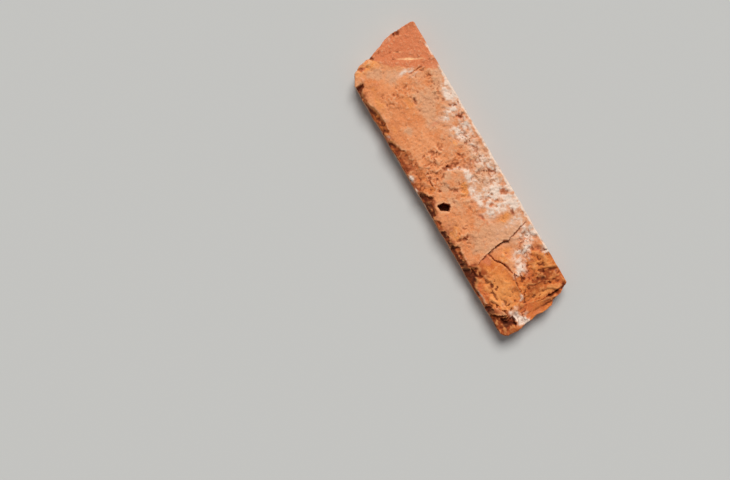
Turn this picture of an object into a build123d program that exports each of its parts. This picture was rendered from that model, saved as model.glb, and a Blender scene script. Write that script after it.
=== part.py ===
from build123d import *
import math
import os
from collections import namedtuple

# A reclaimed clay brick slip: the weathered face of an old hand-made brick, sawn off as a thin piece
# for facing a wall. One solid of fired clay. It lies on its flat sawn back, with the old face up.
#
# +X runs along the brick from its square end to its broken end, +Y across it from the worn long edge to
# the straight one, and +Z out of the old face. The origin is the middle of the back. Millimetres.

# Overall size of the slip
LENGTH = 252.0
WIDTH = 66.0
THICKNESS = 20.0

# Reach of a cutting tool past the surface that it cuts
CLEAR = 6.0


def from_square_end(distance):
    return distance - LENGTH / 2


def from_broken_end(distance):
    return LENGTH / 2 - distance


def from_straight_edge(distance):
    return WIDTH / 2 - distance


def from_worn_edge(distance):
    return distance - WIDTH / 2


# Outline of the back. The square end leans in towards the worn edge, where its corner is knocked off.
SQUARE_END = [
    (from_square_end(0.0), from_straight_edge(0.0)),
    (from_square_end(0.0), from_straight_edge(3.0)),
    (from_square_end(0.4), from_worn_edge(44.0)),
    (from_square_end(4.6), from_worn_edge(32.0)),
    (from_square_end(8.4), from_worn_edge(21.0)),
    (from_square_end(8.8), from_worn_edge(11.5)),
    (from_square_end(13.0), from_worn_edge(4.5)),
    (from_square_end(21.5), from_worn_edge(0.0)),
]
# The broken end is an old fracture in short runs.
BROKEN_END = [
    (from_broken_end(5.5), from_worn_edge(0.0)),
    (from_broken_end(2.0), from_worn_edge(2.2)),
    (from_broken_end(0.0), from_worn_edge(5.0)),
    (from_broken_end(0.0), from_worn_edge(14.0)),
    (from_broken_end(2.4), from_worn_edge(30.5)),
    (from_broken_end(3.2), from_straight_edge(19.5)),
    (from_broken_end(7.0), from_straight_edge(15.5)),
    (from_broken_end(8.6), from_straight_edge(8.0)),
    (from_broken_end(13.5), from_straight_edge(0.0)),
]
CORNER_WEAR = 1.2

# Slow swells of the hand-struck face: place, reach along and across the brick, and height
Swell = namedtuple("Swell", "x y along across height")
SWELLS = [
    Swell(from_square_end(25.0), from_worn_edge(44.0), 26.0, 20.0, -0.5),
    Swell(from_square_end(62.0), from_worn_edge(24.0), 30.0, 16.0, 0.45),
    Swell(from_square_end(92.0), from_straight_edge(18.0), 22.0, 14.0, -0.55),
    Swell(from_square_end(113.0), from_worn_edge(26.0), 12.0, 18.0, -0.7),
    Swell(from_square_end(125.0), from_worn_edge(32.0), 11.0, 10.0, 1.7),
    Swell(from_broken_end(84.0), from_worn_edge(22.0), 20.0, 16.0, 0.3),
    Swell(from_broken_end(90.0), from_straight_edge(16.0), 18.0, 14.0, -0.35),
]
# Spacing of the points that the face is fitted through
SWELL_STEP = 7.0

# Shallow chips knocked off the straight arris: where along the brick, how long they run on the face, how far
# they reach into it, and how far they drop down the side
Chip = namedtuple("Chip", "x length reach drop")
STRAIGHT_CHIPS = [
    Chip(from_square_end(36.0), 9.0, 1.3, 1.6),
    Chip(from_square_end(73.0), 12.0, 1.2, 1.8),
    Chip(from_broken_end(118.0), 14.0, 1.4, 1.5),
    Chip(from_broken_end(64.0), 10.0, 1.2, 1.8),
]

# Scars where the old skin has spalled off: an outline, the depth of the floor below the face at the first
# point, and how fast the floor deepens along +X and +Y
Scar = namedtuple("Scar", "outline depth fall_along fall_across")

# Corners that the scars share, so that they meet along the same lines
CRACK_TOP = (from_broken_end(71.0), from_straight_edge(3.5))
CRACK_HIGH = (from_broken_end(69.0), from_straight_edge(14.5))
CRACK_KNEE = (from_broken_end(66.0), from_straight_edge(25.0))
CRACK_HIP = (from_broken_end(67.2), from_worn_edge(33.5))
CRACK_FOOT = (from_broken_end(64.5), from_worn_edge(23.5))
BRANCH_NEAR = (from_broken_end(57.0), from_worn_edge(26.0))
BRANCH_BEND = (from_broken_end(51.0), from_worn_edge(30.0))
BRANCH_TIP = (from_broken_end(41.0), from_worn_edge(32.2))
RIDGE_LOW = (from_broken_end(36.0), from_worn_edge(36.0))
RIDGE_MID = (from_broken_end(47.0), from_worn_edge(45.5))
RIDGE_HIGH = (from_broken_end(49.0), from_straight_edge(9.0))
FACET_TOP = (from_broken_end(23.0), from_worn_edge(30.0))
FACET_BEND = (from_broken_end(20.0), from_worn_edge(27.0))
FACET_END = (from_broken_end(12.0), from_worn_edge(16.5))
FACET_LOW = (from_broken_end(24.0), from_worn_edge(13.5))
FACET_MID = (from_broken_end(41.0), from_worn_edge(13.0))
FACET_NEAR = (from_broken_end(59.0), from_worn_edge(12.0))
BLOCK_LOW = (from_broken_end(20.5), from_straight_edge(28.0))
BLOCK_MID = (from_broken_end(18.5), from_straight_edge(20.0))
BLOCK_HIGH = (from_broken_end(16.5), from_straight_edge(13.0))
BLOCK_TOP = (from_broken_end(13.0), from_straight_edge(6.0))
PAST_EDGE = CLEAR + 2.0

SCARS = {
    # The hollow at the foot of the middle lump, deepest against the lump
    "lump_foot": Scar(
        [
            (from_square_end(104.0), from_worn_edge(29.0)),
            (from_square_end(106.0), from_worn_edge(22.5)),
            (from_square_end(113.0), from_worn_edge(21.0)),
            (from_square_end(117.5), from_worn_edge(23.5)),
            (from_square_end(115.7), from_worn_edge(28.0)),
            (from_square_end(116.2), from_worn_edge(33.0)),
            (from_square_end(119.0), from_worn_edge(38.0)),
            (from_square_end(123.0), from_worn_edge(42.5)),
            (from_square_end(117.0), from_worn_edge(44.0)),
            (from_square_end(108.0), from_worn_edge(37.0)),
        ],
        0.0,
        0.11,
        0.0,
    ),
    "plate": Scar(
        [
            (CRACK_TOP[0], from_straight_edge(-PAST_EDGE)),
            CRACK_TOP,
            CRACK_HIGH,
            CRACK_KNEE,
            CRACK_HIP,
            CRACK_FOOT,
            BRANCH_NEAR,
            BRANCH_BEND,
            BRANCH_TIP,
            RIDGE_LOW,
            RIDGE_MID,
            RIDGE_HIGH,
            (from_broken_end(41.0), from_straight_edge(-PAST_EDGE)),
        ],
        0.8,
        0.035,
        -0.012,
    ),
    "smooth_facet": Scar(
        [
            CRACK_FOOT,
            FACET_NEAR,
            FACET_MID,
            FACET_LOW,
            FACET_END,
            FACET_BEND,
            FACET_TOP,
            BRANCH_TIP,
            BRANCH_BEND,
            BRANCH_NEAR,
        ],
        0.1,
        0.05,
        0.0,
    ),
    "folded_bank": Scar(
        [
            RIDGE_HIGH,
            RIDGE_MID,
            RIDGE_LOW,
            BRANCH_TIP,
            FACET_TOP,
            BLOCK_LOW,
            BLOCK_MID,
            BLOCK_HIGH,
            BLOCK_TOP,
            (from_broken_end(5.0), from_straight_edge(-PAST_EDGE)),
            (from_broken_end(41.0), from_straight_edge(-PAST_EDGE)),
        ],
        1.6,
        0.05,
        -0.03,
    ),
    "end_block": Scar(
        [
            BLOCK_TOP,
            BLOCK_HIGH,
            BLOCK_MID,
            BLOCK_LOW,
            FACET_TOP,
            FACET_BEND,
            FACET_END,
            (from_broken_end(-PAST_EDGE), from_worn_edge(16.0)),
            (from_broken_end(-PAST_EDGE), from_straight_edge(-PAST_EDGE)),
            (from_broken_end(5.0), from_straight_edge(-PAST_EDGE)),
        ],
        4.6,
        0.05,
        -0.02,
    ),
    "lower_bank": Scar(
        [
            FACET_NEAR,
            (from_broken_end(66.0), from_worn_edge(-PAST_EDGE)),
            (from_broken_end(26.0), from_worn_edge(-PAST_EDGE)),
            FACET_LOW,
            FACET_MID,
        ],
        0.4,
        0.055,
        -0.11,
    ),
    "corner_lump": Scar(
        [
            FACET_LOW,
            (from_broken_end(26.0), from_worn_edge(-PAST_EDGE)),
            (from_broken_end(-PAST_EDGE), from_worn_edge(-PAST_EDGE)),
            (from_broken_end(-PAST_EDGE), from_worn_edge(16.0)),
            FACET_END,
        ],
        2.9,
        0.03,
        -0.06,
    ),
}

# Folds in a scar's floor, like scales: the line along which the floor drops, from nothing at its start, how
# wide the scale to the right of that line has grown at its end, and the drop there
Fold = namedtuple("Fold", "start end width drop")
FOLDS = {
    "folded_bank": [
        Fold(
            (from_broken_end(42.0), from_worn_edge(41.0)),
            (from_broken_end(37.5), from_straight_edge(9.5)),
            6.0,
            1.2,
        ),
        Fold(
            (from_broken_end(34.5), from_worn_edge(35.5)),
            (from_broken_end(30.5), from_straight_edge(15.0)),
            6.5,
            1.5,
        ),
        Fold(
            (from_broken_end(34.0), from_straight_edge(16.5)),
            (from_broken_end(27.5), from_straight_edge(0.5)),
            7.0,
            1.4,
        ),
        Fold(
            (from_broken_end(27.5), from_worn_edge(34.0)),
            (from_broken_end(23.0), from_straight_edge(14.5)),
            5.0,
            1.4,
        ),
        Fold(
            (from_broken_end(24.5), from_straight_edge(17.0)),
            (from_broken_end(18.5), from_straight_edge(3.0)),
            4.5,
            1.1,
        ),
    ],
    "end_block": [
        Fold(
            (from_broken_end(8.2), from_worn_edge(27.0)),
            (from_broken_end(7.0), from_straight_edge(14.5)),
            9.0,
            1.3,
        ),
    ],
    "lower_bank": [
        Fold(
            (from_broken_end(49.0), from_worn_edge(11.5)),
            (from_broken_end(39.0), from_worn_edge(15.0)),
            5.0,
            1.6,
        ),
        Fold(
            (from_broken_end(31.0), from_worn_edge(3.0)),
            (from_broken_end(17.0), from_worn_edge(13.7)),
            5.5,
            1.6,
        ),
    ],
}

# Ledges broken out of the worn arris, from the square end to the broken one: the broken line on the face, and
# the floor, as for a scar
Ledge = namedtuple("Ledge", "line depth fall_along fall_across")
LEDGES = [
    Ledge(
        [
            (from_square_end(22.7), from_worn_edge(2.0)),
            (from_square_end(25.5), from_worn_edge(6.6)),
            (from_square_end(30.0), from_worn_edge(4.2)),
            (from_square_end(34.0), from_worn_edge(2.8)),
        ],
        3.5,
        0.03,
        -0.5,
    ),
    Ledge(
        [
            (from_square_end(33.0), from_worn_edge(2.2)),
            (from_square_end(41.0), from_worn_edge(3.5)),
            (from_square_end(44.5), from_worn_edge(6.4)),
            (from_square_end(65.0), from_worn_edge(6.8)),
            (from_square_end(68.2), from_worn_edge(4.5)),
            (from_square_end(69.0), from_worn_edge(1.2)),
        ],
        4.4,
        0.0,
        -0.6,
    ),
    # The wide shallow spall
    Ledge(
        [
            (from_square_end(84.5), from_worn_edge(8.0)),
            (from_square_end(86.5), from_worn_edge(13.0)),
            (from_square_end(95.0), from_worn_edge(14.2)),
            (from_square_end(104.0), from_worn_edge(12.2)),
            (from_square_end(117.0), from_worn_edge(13.2)),
            (from_square_end(122.0), from_worn_edge(14.8)),
            (from_square_end(126.0), from_worn_edge(9.0)),
            (from_square_end(122.0), from_worn_edge(4.0)),
        ],
        0.8,
        0.05,
        -0.26,
    ),
    Ledge(
        [
            (from_square_end(72.6), from_worn_edge(1.0)),
            (from_square_end(75.5), from_worn_edge(3.6)),
            (from_square_end(84.5), from_worn_edge(8.0)),
            (from_square_end(88.0), from_worn_edge(7.4)),
            (from_square_end(95.0), from_worn_edge(2.5)),
        ],
        2.4,
        -0.03,
        -0.15,
    ),
    Ledge(
        [
            (from_square_end(119.5), from_worn_edge(1.4)),
            (from_square_end(123.0), from_worn_edge(3.6)),
            (from_square_end(125.8), from_worn_edge(7.2)),
            (from_square_end(128.0), from_worn_edge(4.8)),
            (from_square_end(134.0), from_worn_edge(4.4)),
            (from_square_end(140.5), from_worn_edge(5.8)),
            (from_square_end(142.0), from_worn_edge(2.6)),
            (from_square_end(145.0), from_worn_edge(0.8)),
        ],
        4.8,
        0.0,
        -0.6,
    ),
    Ledge(
        [
            (from_broken_end(97.8), from_worn_edge(1.4)),
            (from_broken_end(95.7), from_worn_edge(3.4)),
            (from_broken_end(90.0), from_worn_edge(2.4)),
            (from_broken_end(85.0), from_worn_edge(2.6)),
        ],
        2.8,
        0.0,
        -0.6,
    ),
    Ledge(
        [
            (from_broken_end(83.4), from_worn_edge(1.6)),
            (from_broken_end(80.0), from_worn_edge(6.2)),
            (from_broken_end(70.0), from_worn_edge(5.6)),
            (from_broken_end(65.0), from_worn_edge(4.0)),
        ],
        4.4,
        0.0,
        -0.55,
    ),
    # The deep break where the lower bank begins
    Ledge(
        [
            (from_broken_end(68.0), from_worn_edge(1.6)),
            (from_broken_end(62.5), from_worn_edge(6.0)),
            (from_broken_end(58.6), from_worn_edge(11.0)),
            (from_broken_end(50.3), from_worn_edge(11.6)),
            (from_broken_end(51.2), from_worn_edge(7.6)),
            (from_broken_end(46.5), from_worn_edge(3.2)),
            (from_broken_end(44.0), from_worn_edge(1.4)),
        ],
        6.6,
        0.02,
        -0.45,
    ),
    Ledge(
        [
            (from_broken_end(30.5), from_worn_edge(2.0)),
            (from_broken_end(27.2), from_worn_edge(6.2)),
            (from_broken_end(23.0), from_worn_edge(1.8)),
        ],
        6.2,
        0.0,
        0.15,
    ),
]

# Sharp-edged holes through the skin: an outline, a depth below the face, and the floor's size as a share
# of the outline's
Pocket = namedtuple("Pocket", "outline depth floor")
POCKETS = [
    # The square hole left by a stone that has dropped out
    Pocket(
        [
            (from_square_end(139.2), from_worn_edge(17.6)),
            (from_square_end(144.8), from_worn_edge(13.6)),
            (from_square_end(140.6), from_worn_edge(8.2)),
            (from_square_end(135.6), from_worn_edge(8.6)),
            (from_square_end(136.0), from_worn_edge(13.6)),
        ],
        11.5,
        0.75,
    ),
    # The long hollow beside the broken corner
    Pocket(
        [
            (from_broken_end(17.2), from_worn_edge(5.8)),
            (from_broken_end(15.4), from_worn_edge(9.6)),
            (from_broken_end(12.0), from_worn_edge(13.0)),
            (from_broken_end(9.4), from_worn_edge(15.6)),
            (from_broken_end(3.6), from_worn_edge(14.8)),
            (from_broken_end(3.4), from_worn_edge(12.6)),
            (from_broken_end(7.6), from_worn_edge(9.0)),
            (from_broken_end(12.4), from_worn_edge(5.0)),
            (from_broken_end(15.6), from_worn_edge(4.4)),
        ],
        7.8,
        0.5,
    ),
]

# Round pits: place, radius at the face and depth
Pit = namedtuple("Pit", "x y radius depth")
PITS = [
    Pit(from_square_end(112.0), from_straight_edge(10.7), 1.6, 1.3),
    Pit(from_square_end(103.0), from_straight_edge(14.2), 1.3, 1.1),
    Pit(from_square_end(73.2), from_straight_edge(7.5), 2.0, 1.2),
    Pit(from_square_end(132.0), from_straight_edge(8.2), 1.7, 1.2),
    Pit(from_square_end(127.0), from_worn_edge(15.7), 1.2, 1.5),
    Pit(from_square_end(95.0), from_worn_edge(18.0), 1.2, 1.0),
    Pit(from_broken_end(101.0), from_straight_edge(6.6), 2.3, 1.5),
    Pit(from_broken_end(94.5), from_straight_edge(20.5), 1.8, 1.2),
    Pit(from_square_end(1.6), from_straight_edge(18.6), 1.9, 2.0),
    Pit(from_square_end(1.2), from_straight_edge(15.0), 1.6, 2.0),
    Pit(from_square_end(7.6), from_worn_edge(22.6), 1.8, 2.5),
]

# Cracks: the run of each along the scars' corners, its width between its pointed ends, and its floor, as
# for a scar
Crack = namedtuple("Crack", "route width depth fall_along fall_across")
CRACKS = [
    Crack(
        [
            CRACK_TOP,
            CRACK_HIGH,
            CRACK_KNEE,
            CRACK_HIP,
            CRACK_FOOT,
            BRANCH_NEAR,
            BRANCH_BEND,
            BRANCH_TIP,
        ],
        1.2,
        2.4,
        0.06,
        -0.02,
    ),
    Crack(
        [
            (from_broken_end(11.5), from_straight_edge(4.0)),
            (from_broken_end(11.0), from_straight_edge(13.0)),
            (from_broken_end(11.6), from_straight_edge(24.0)),
        ],
        2.4,
        7.0,
        0.0,
        0.0,
    ),
]
# How far a crack's line lies off the scars' shared edge, inside the piece that has dropped
CRACK_DRIFT = (0.3, 0.2)


def face_height(x, y):
    """Height of the hand-struck face above the back: the thickness and a bell for each swell."""
    bells = (
        swell.height * math.exp(-(((x - swell.x) / swell.along) ** 2 + ((y - swell.y) / swell.across) ** 2))
        for swell in SWELLS
    )
    return THICKNESS + sum(bells)


def steps_across(span):
    """Evenly spaced places that cover a span centred on the origin, a little past both of its ends."""
    count = max(4, round((span + 2 * CLEAR) / SWELL_STEP))
    reach = span / 2 + CLEAR
    return [-reach + 2 * reach * i / count for i in range(count + 1)]


def struck_slab():
    """The slip before it was broken: its outline carried up to the swelling face."""
    outline = Polygon(*SQUARE_END, *BROKEN_END, align=None)
    outline = fillet(outline.vertices(), CORNER_WEAR)
    prism = extrude(outline, THICKNESS + CLEAR)
    points = [[(x, y, face_height(x, y)) for y in steps_across(WIDTH)] for x in steps_across(LENGTH)]
    face = Face.make_surface_from_array_of_points(points)
    return prism & Solid.extrude(face, Vector(0, 0, -2 * THICKNESS))


def chip_ball(chip):
    """The ball that knocks a chip off the straight arris."""
    half = chip.length / 2
    face_radius = (half**2 + chip.reach**2) / (2 * chip.reach)
    side_radius = (half**2 + chip.drop**2) / (2 * chip.drop)
    out = face_radius - chip.reach
    up = side_radius - chip.drop
    edge = from_straight_edge(0.0)
    top = face_height(chip.x, edge)
    return Pos(chip.x, edge + out, top + up) * Sphere(math.hypot(face_radius, up))


def scar_block(scar):
    """What a spalled scar takes away: its outline above a tilted floor."""
    x, y = scar.outline[0]
    normal = (scar.fall_along, scar.fall_across, 1.0)
    floor = Plane(origin=(x, y, face_height(x, y) - scar.depth), z_dir=normal)
    column = extrude(make_face(Polyline(*scar.outline, close=True)), THICKNESS + CLEAR)
    return split(column, bisect_by=floor, keep=Keep.TOP)


def ledge_scar(ledge):
    """A ledge as a scar: its line closed beyond the worn edge, level with both ends."""
    beyond = from_worn_edge(-PAST_EDGE)
    closing = [(ledge.line[-1][0], beyond), (ledge.line[0][0], beyond)]
    return Scar(ledge.line + closing, ledge.depth, ledge.fall_along, ledge.fall_across)


def fold_scar(fold, scar):
    """A fold as a scar: a triangle that leaves the floor of the scar round it along the dropping line."""
    start = Vector(*fold.start)
    end = Vector(*fold.end)
    line = (end - start).normalized()
    right = line.rotate(Axis.Z, -90)
    tilt = line * (fold.drop / (end - start).length) - right * (fold.drop / fold.width)
    x, y = scar.outline[0]
    deeper = scar.fall_along * (start.X - x) + scar.fall_across * (start.Y - y)
    floor = face_height(x, y) - scar.depth - deeper
    return Scar(
        [(corner.X, corner.Y) for corner in (start, end, end + right * fold.width)],
        face_height(start.X, start.Y) - floor,
        scar.fall_along + tilt.X,
        scar.fall_across + tilt.Y,
    )


def pocket_plug(pocket):
    """What fills a pocket: its outline from above the face, drawn in evenly down to a smaller floor."""
    corners = [Vector(x, y, face_height(x, y)) for x, y in pocket.outline]
    middle = sum(corners, Vector(0, 0, 0)) / len(corners)
    above = [corner + (corner - middle) * (1 - pocket.floor) * CLEAR / pocket.depth for corner in corners]
    below = [middle + (corner - middle) * pocket.floor for corner in corners]
    rim = Polygon(*[(point.X, point.Y) for point in above], align=None)
    floor = Polygon(*[(point.X, point.Y) for point in below], align=None)
    return loft([Pos(0, 0, middle.Z + CLEAR) * rim, Pos(0, 0, middle.Z - pocket.depth) * floor], ruled=True)


def pit_ball(pit):
    radius = (pit.radius**2 + pit.depth**2) / (2 * pit.depth)
    return Pos(pit.x, pit.y, face_height(pit.x, pit.y) + radius - pit.depth) * Sphere(radius)


def crack_scar(crack):
    """A crack as a narrow scar: half its width on either side of its route, drawn to a point at both ends."""
    route = [Vector(x + CRACK_DRIFT[0], y + CRACK_DRIFT[1]) for x, y in crack.route]
    left = []
    right = []
    for before, here, after in zip(route, route[1:], route[2:]):
        across = (after - before).normalized().rotate(Axis.Z, 90) * crack.width / 2
        left.append(here + across)
        right.append(here - across)
    corners = [route[0], *left, route[-1], *reversed(right)]
    outline = [(corner.X, corner.Y) for corner in corners]
    return Scar(outline, crack.depth, crack.fall_along, crack.fall_across)


def brick_slip():
    folds = [fold_scar(fold, SCARS[name]) for name in FOLDS for fold in FOLDS[name]]
    ledges = [ledge_scar(ledge) for ledge in LEDGES]
    cracks = [crack_scar(crack) for crack in CRACKS]
    cuts = [chip_ball(chip) for chip in STRAIGHT_CHIPS]
    cuts += [scar_block(scar) for scar in [*SCARS.values(), *folds, *ledges]]
    cuts += [pocket_plug(pocket) for pocket in POCKETS]
    cuts += [pit_ball(pit) for pit in PITS]
    cuts += [scar_block(crack) for crack in cracks]
    slab = struck_slab()
    for cut in cuts:
        slab = slab - cut
    return slab


os.makedirs("parts", exist_ok=True)
slip = brick_slip()
export_step(slip, "parts/brick_slip.step")
print("brick_slip", slip.bounding_box(), "volume", round(slip.volume), "faces", len(slip.faces()))
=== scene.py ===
"""The looks of a clay brick slip: an old brick's weathered face on a sawn back, lying on a pale floor."""

import math

import bpy
import numpy as np
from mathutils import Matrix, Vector


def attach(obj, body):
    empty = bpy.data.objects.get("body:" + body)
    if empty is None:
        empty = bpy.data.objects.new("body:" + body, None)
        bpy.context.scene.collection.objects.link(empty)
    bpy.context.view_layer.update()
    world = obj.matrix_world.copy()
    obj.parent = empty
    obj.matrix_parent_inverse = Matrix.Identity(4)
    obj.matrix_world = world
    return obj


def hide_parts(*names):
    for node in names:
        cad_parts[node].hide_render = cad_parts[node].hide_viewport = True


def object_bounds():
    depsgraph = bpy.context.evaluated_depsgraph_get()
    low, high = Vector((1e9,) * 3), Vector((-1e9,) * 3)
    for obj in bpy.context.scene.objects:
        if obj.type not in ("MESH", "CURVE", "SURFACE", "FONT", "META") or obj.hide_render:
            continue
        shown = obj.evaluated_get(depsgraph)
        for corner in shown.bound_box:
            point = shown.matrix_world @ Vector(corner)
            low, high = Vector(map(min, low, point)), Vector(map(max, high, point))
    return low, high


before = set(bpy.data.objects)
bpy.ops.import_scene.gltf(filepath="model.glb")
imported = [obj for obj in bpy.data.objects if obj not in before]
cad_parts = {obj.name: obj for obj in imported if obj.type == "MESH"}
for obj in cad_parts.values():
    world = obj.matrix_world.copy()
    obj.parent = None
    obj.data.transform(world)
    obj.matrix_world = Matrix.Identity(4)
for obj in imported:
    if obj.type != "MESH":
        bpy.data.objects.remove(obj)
cad_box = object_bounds()

# The brick slip: one piece of soft orange clay, struck by hand in a wooden mould and fired. Its old face is
# weathered, stained with lime and spalled at one end, its arris is chipped, and its back is sawn flat.
# Places are (x, y) on the face in millimetres from the middle, x towards the broken end.

MM = 0.001
THICKNESS = 20
# The highest that the clay may stand, just inside the solid's box
TOP = cad_box[1][2] / MM - 0.05
STRAIGHT_EDGE = 33
WORN_EDGE = -33
# The two ends as runs of points from the worn edge to the straight one
SQUARE_END = [
    (-104.5, WORN_EDGE), (-113, -28.5), (-117.2, -21.5), (-117.6, -12), (-121.4, -1), (-125.1, 8.5),
    (-125.6, 11), (-126, 30), (-125.4, 32.3), (-124.2, STRAIGHT_EDGE),
]
BROKEN_END = [
    (120.5, WORN_EDGE), (124, -30.8), (126, -28), (126, -19), (123.6, -2.5), (122.8, 13.5),
    (119, 17.5), (117.4, 25), (112.5, STRAIGHT_EDGE),
]
# How many cells there are before the noise repeats
LATTICE = 256


def noise(x, y, size, seed):
    """Smooth noise, -1 to 1: random numbers on a square lattice of that size, joined by quintic curves."""
    table = np.random.default_rng(seed).uniform(-1, 1, (LATTICE, LATTICE))
    u, v = x / size, y / size
    i, j = np.floor(u).astype(int), np.floor(v).astype(int)
    u, v = u - i, v - j
    u, v = u**3 * (u * (6 * u - 15) + 10), v**3 * (v * (6 * v - 15) + 10)
    near, far = i % LATTICE, (i + 1) % LATTICE
    low, high = j % LATTICE, (j + 1) % LATTICE
    bottom = table[near, low] * (1 - u) + table[far, low] * u
    top = table[near, high] * (1 - u) + table[far, high] * u
    return bottom * (1 - v) + top * v


def rough(x, y, size, seed, octaves=4, gain=0.5):
    """A sum of noises, each half the size of the one before and gain times as strong."""
    total, strength = 0, 1
    for octave in range(octaves):
        total = total + strength * noise(x, y, size / 2**octave, seed + octave)
        strength *= gain
    return total


def scattered(x, y, cell, dice):
    """Points scattered one to a square cell: for the nine cells round each place, their numbers on the
    lattice and the distance to their point, in cells."""
    place_x, place_y = dice.uniform(0.1, 0.9, (2, LATTICE, LATTICE))
    u, v = x / cell, y / cell
    i, j = np.floor(u).astype(int), np.floor(v).astype(int)
    found = []
    for a in (-1, 0, 1):
        for b in (-1, 0, 1):
            m, n = (i + a) % LATTICE, (j + b) % LATTICE
            found.append((m, n, np.hypot(i + a + place_x[m, n] - u, j + b + place_y[m, n] - v)))
    return found


def pores(x, y, cell, share, seed):
    """Round pits, at most one to a square cell, in that share of the cells. A pit is 1 less the square of the
    distance to its middle over its radius, and 0 outside it."""
    dice = np.random.default_rng(seed)
    points = scattered(x, y, cell, dice)
    radius = dice.uniform(0.12, 0.45, (LATTICE, LATTICE))
    there = dice.uniform(0, 1, (LATTICE, LATTICE)) < share
    depth = np.zeros_like(x)
    for m, n, away in points:
        depth = np.maximum(depth, there[m, n] * np.clip(1 - (away / radius[m, n]) ** 2, 0, 1))
    return depth


def crumbs(x, y, cell, seed):
    """Rounded crumbs, one to a square cell, with sharp creases between them: the greatest of each crumb's own
    height less 1.4 times the square of the distance to its middle, in cells."""
    dice = np.random.default_rng(seed)
    points = scattered(x, y, cell, dice)
    height = dice.uniform(0.5, 1.2, (LATTICE, LATTICE))
    top = np.full_like(x, -1)
    for m, n, away in points:
        top = np.maximum(top, height[m, n] - 1.4 * away**2)
    return top


def from_run(x, y, start, end):
    """Distance to a straight run, and how far along it the nearest place is: the run times the way from its
    start, over the square of the run, kept from 0 to 1."""
    dx, dy = end[0] - start[0], end[1] - start[1]
    t = np.clip(((x - start[0]) * dx + (y - start[1]) * dy) / (dx * dx + dy * dy), 0, 1)
    return np.hypot(x - start[0] - t * dx, y - start[1] - t * dy), t


def inside(x, y, outline):
    """Least distance to the runs of a closed outline, positive inside it and negative outside."""
    away = np.full_like(x, np.inf)
    within = np.zeros_like(x, bool)
    for (x0, y0), (x1, y1) in zip(outline, outline[1:] + outline[:1]):
        away = np.minimum(away, from_run(x, y, (x0, y0), (x1, y1))[0])
        if y1 != y0:
            within ^= ((y0 > y) != (y1 > y)) & (x < x0 + (x1 - x0) * (y - y0) / (y1 - y0))
    return np.where(within, away, -away)


def from_line(x, y, route):
    """Distance to a route of straight runs, and how far along it the nearest place is, from 0 to 1."""
    away = np.full_like(x, np.inf)
    along = np.zeros_like(x)
    whole = sum(math.dist(a, b) for a, b in zip(route, route[1:]))
    done = 0
    for start, end in zip(route, route[1:]):
        d, t = from_run(x, y, start, end)
        along = np.where(d < away, (done + t * math.dist(start, end)) / whole, along)
        away = np.minimum(away, d)
        done += math.dist(start, end)
    return away, along


def stripe(x, y, route, width, sharpness=2):
    """A soft mark along a route: e to the minus square of sharpness times the distance over the width, faded
    by 1 less the fourth power of the way from the route's middle, which is 1 at its ends."""
    d, t = from_line(x, y, route)
    return np.exp(-((sharpness * d / width) ** 2)) * (1 - (2 * t - 1) ** 4)


def bells(x, y, places):
    """Sum of bell-shaped swells, each by its place, reach along and across the brick, and height: the height
    times e to the minus squares of the ways from the place over the reaches."""
    return sum(h * np.exp(-(((x - a) / la) ** 2) - ((y - b) / lb) ** 2) for a, b, la, lb, h in places)


def step(value, low, high):
    """0 below low, 1 above high, and between them 3 times the square of the way less 2 times its cube."""
    t = np.clip((value - low) / (high - low), 0, 1)
    return t * t * (3 - 2 * t)


# Slow swells of the struck face: place, reaches and height
SWELLS = [
    (-101, 11, 26, 20, -0.5), (-64, -9, 30, 16, 0.45), (-34, 15, 22, 14, -0.55), (-13, -7, 12, 18, -0.7),
    (42, -11, 20, 16, 0.3), (36, 17, 18, 14, -0.35),
]
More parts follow.
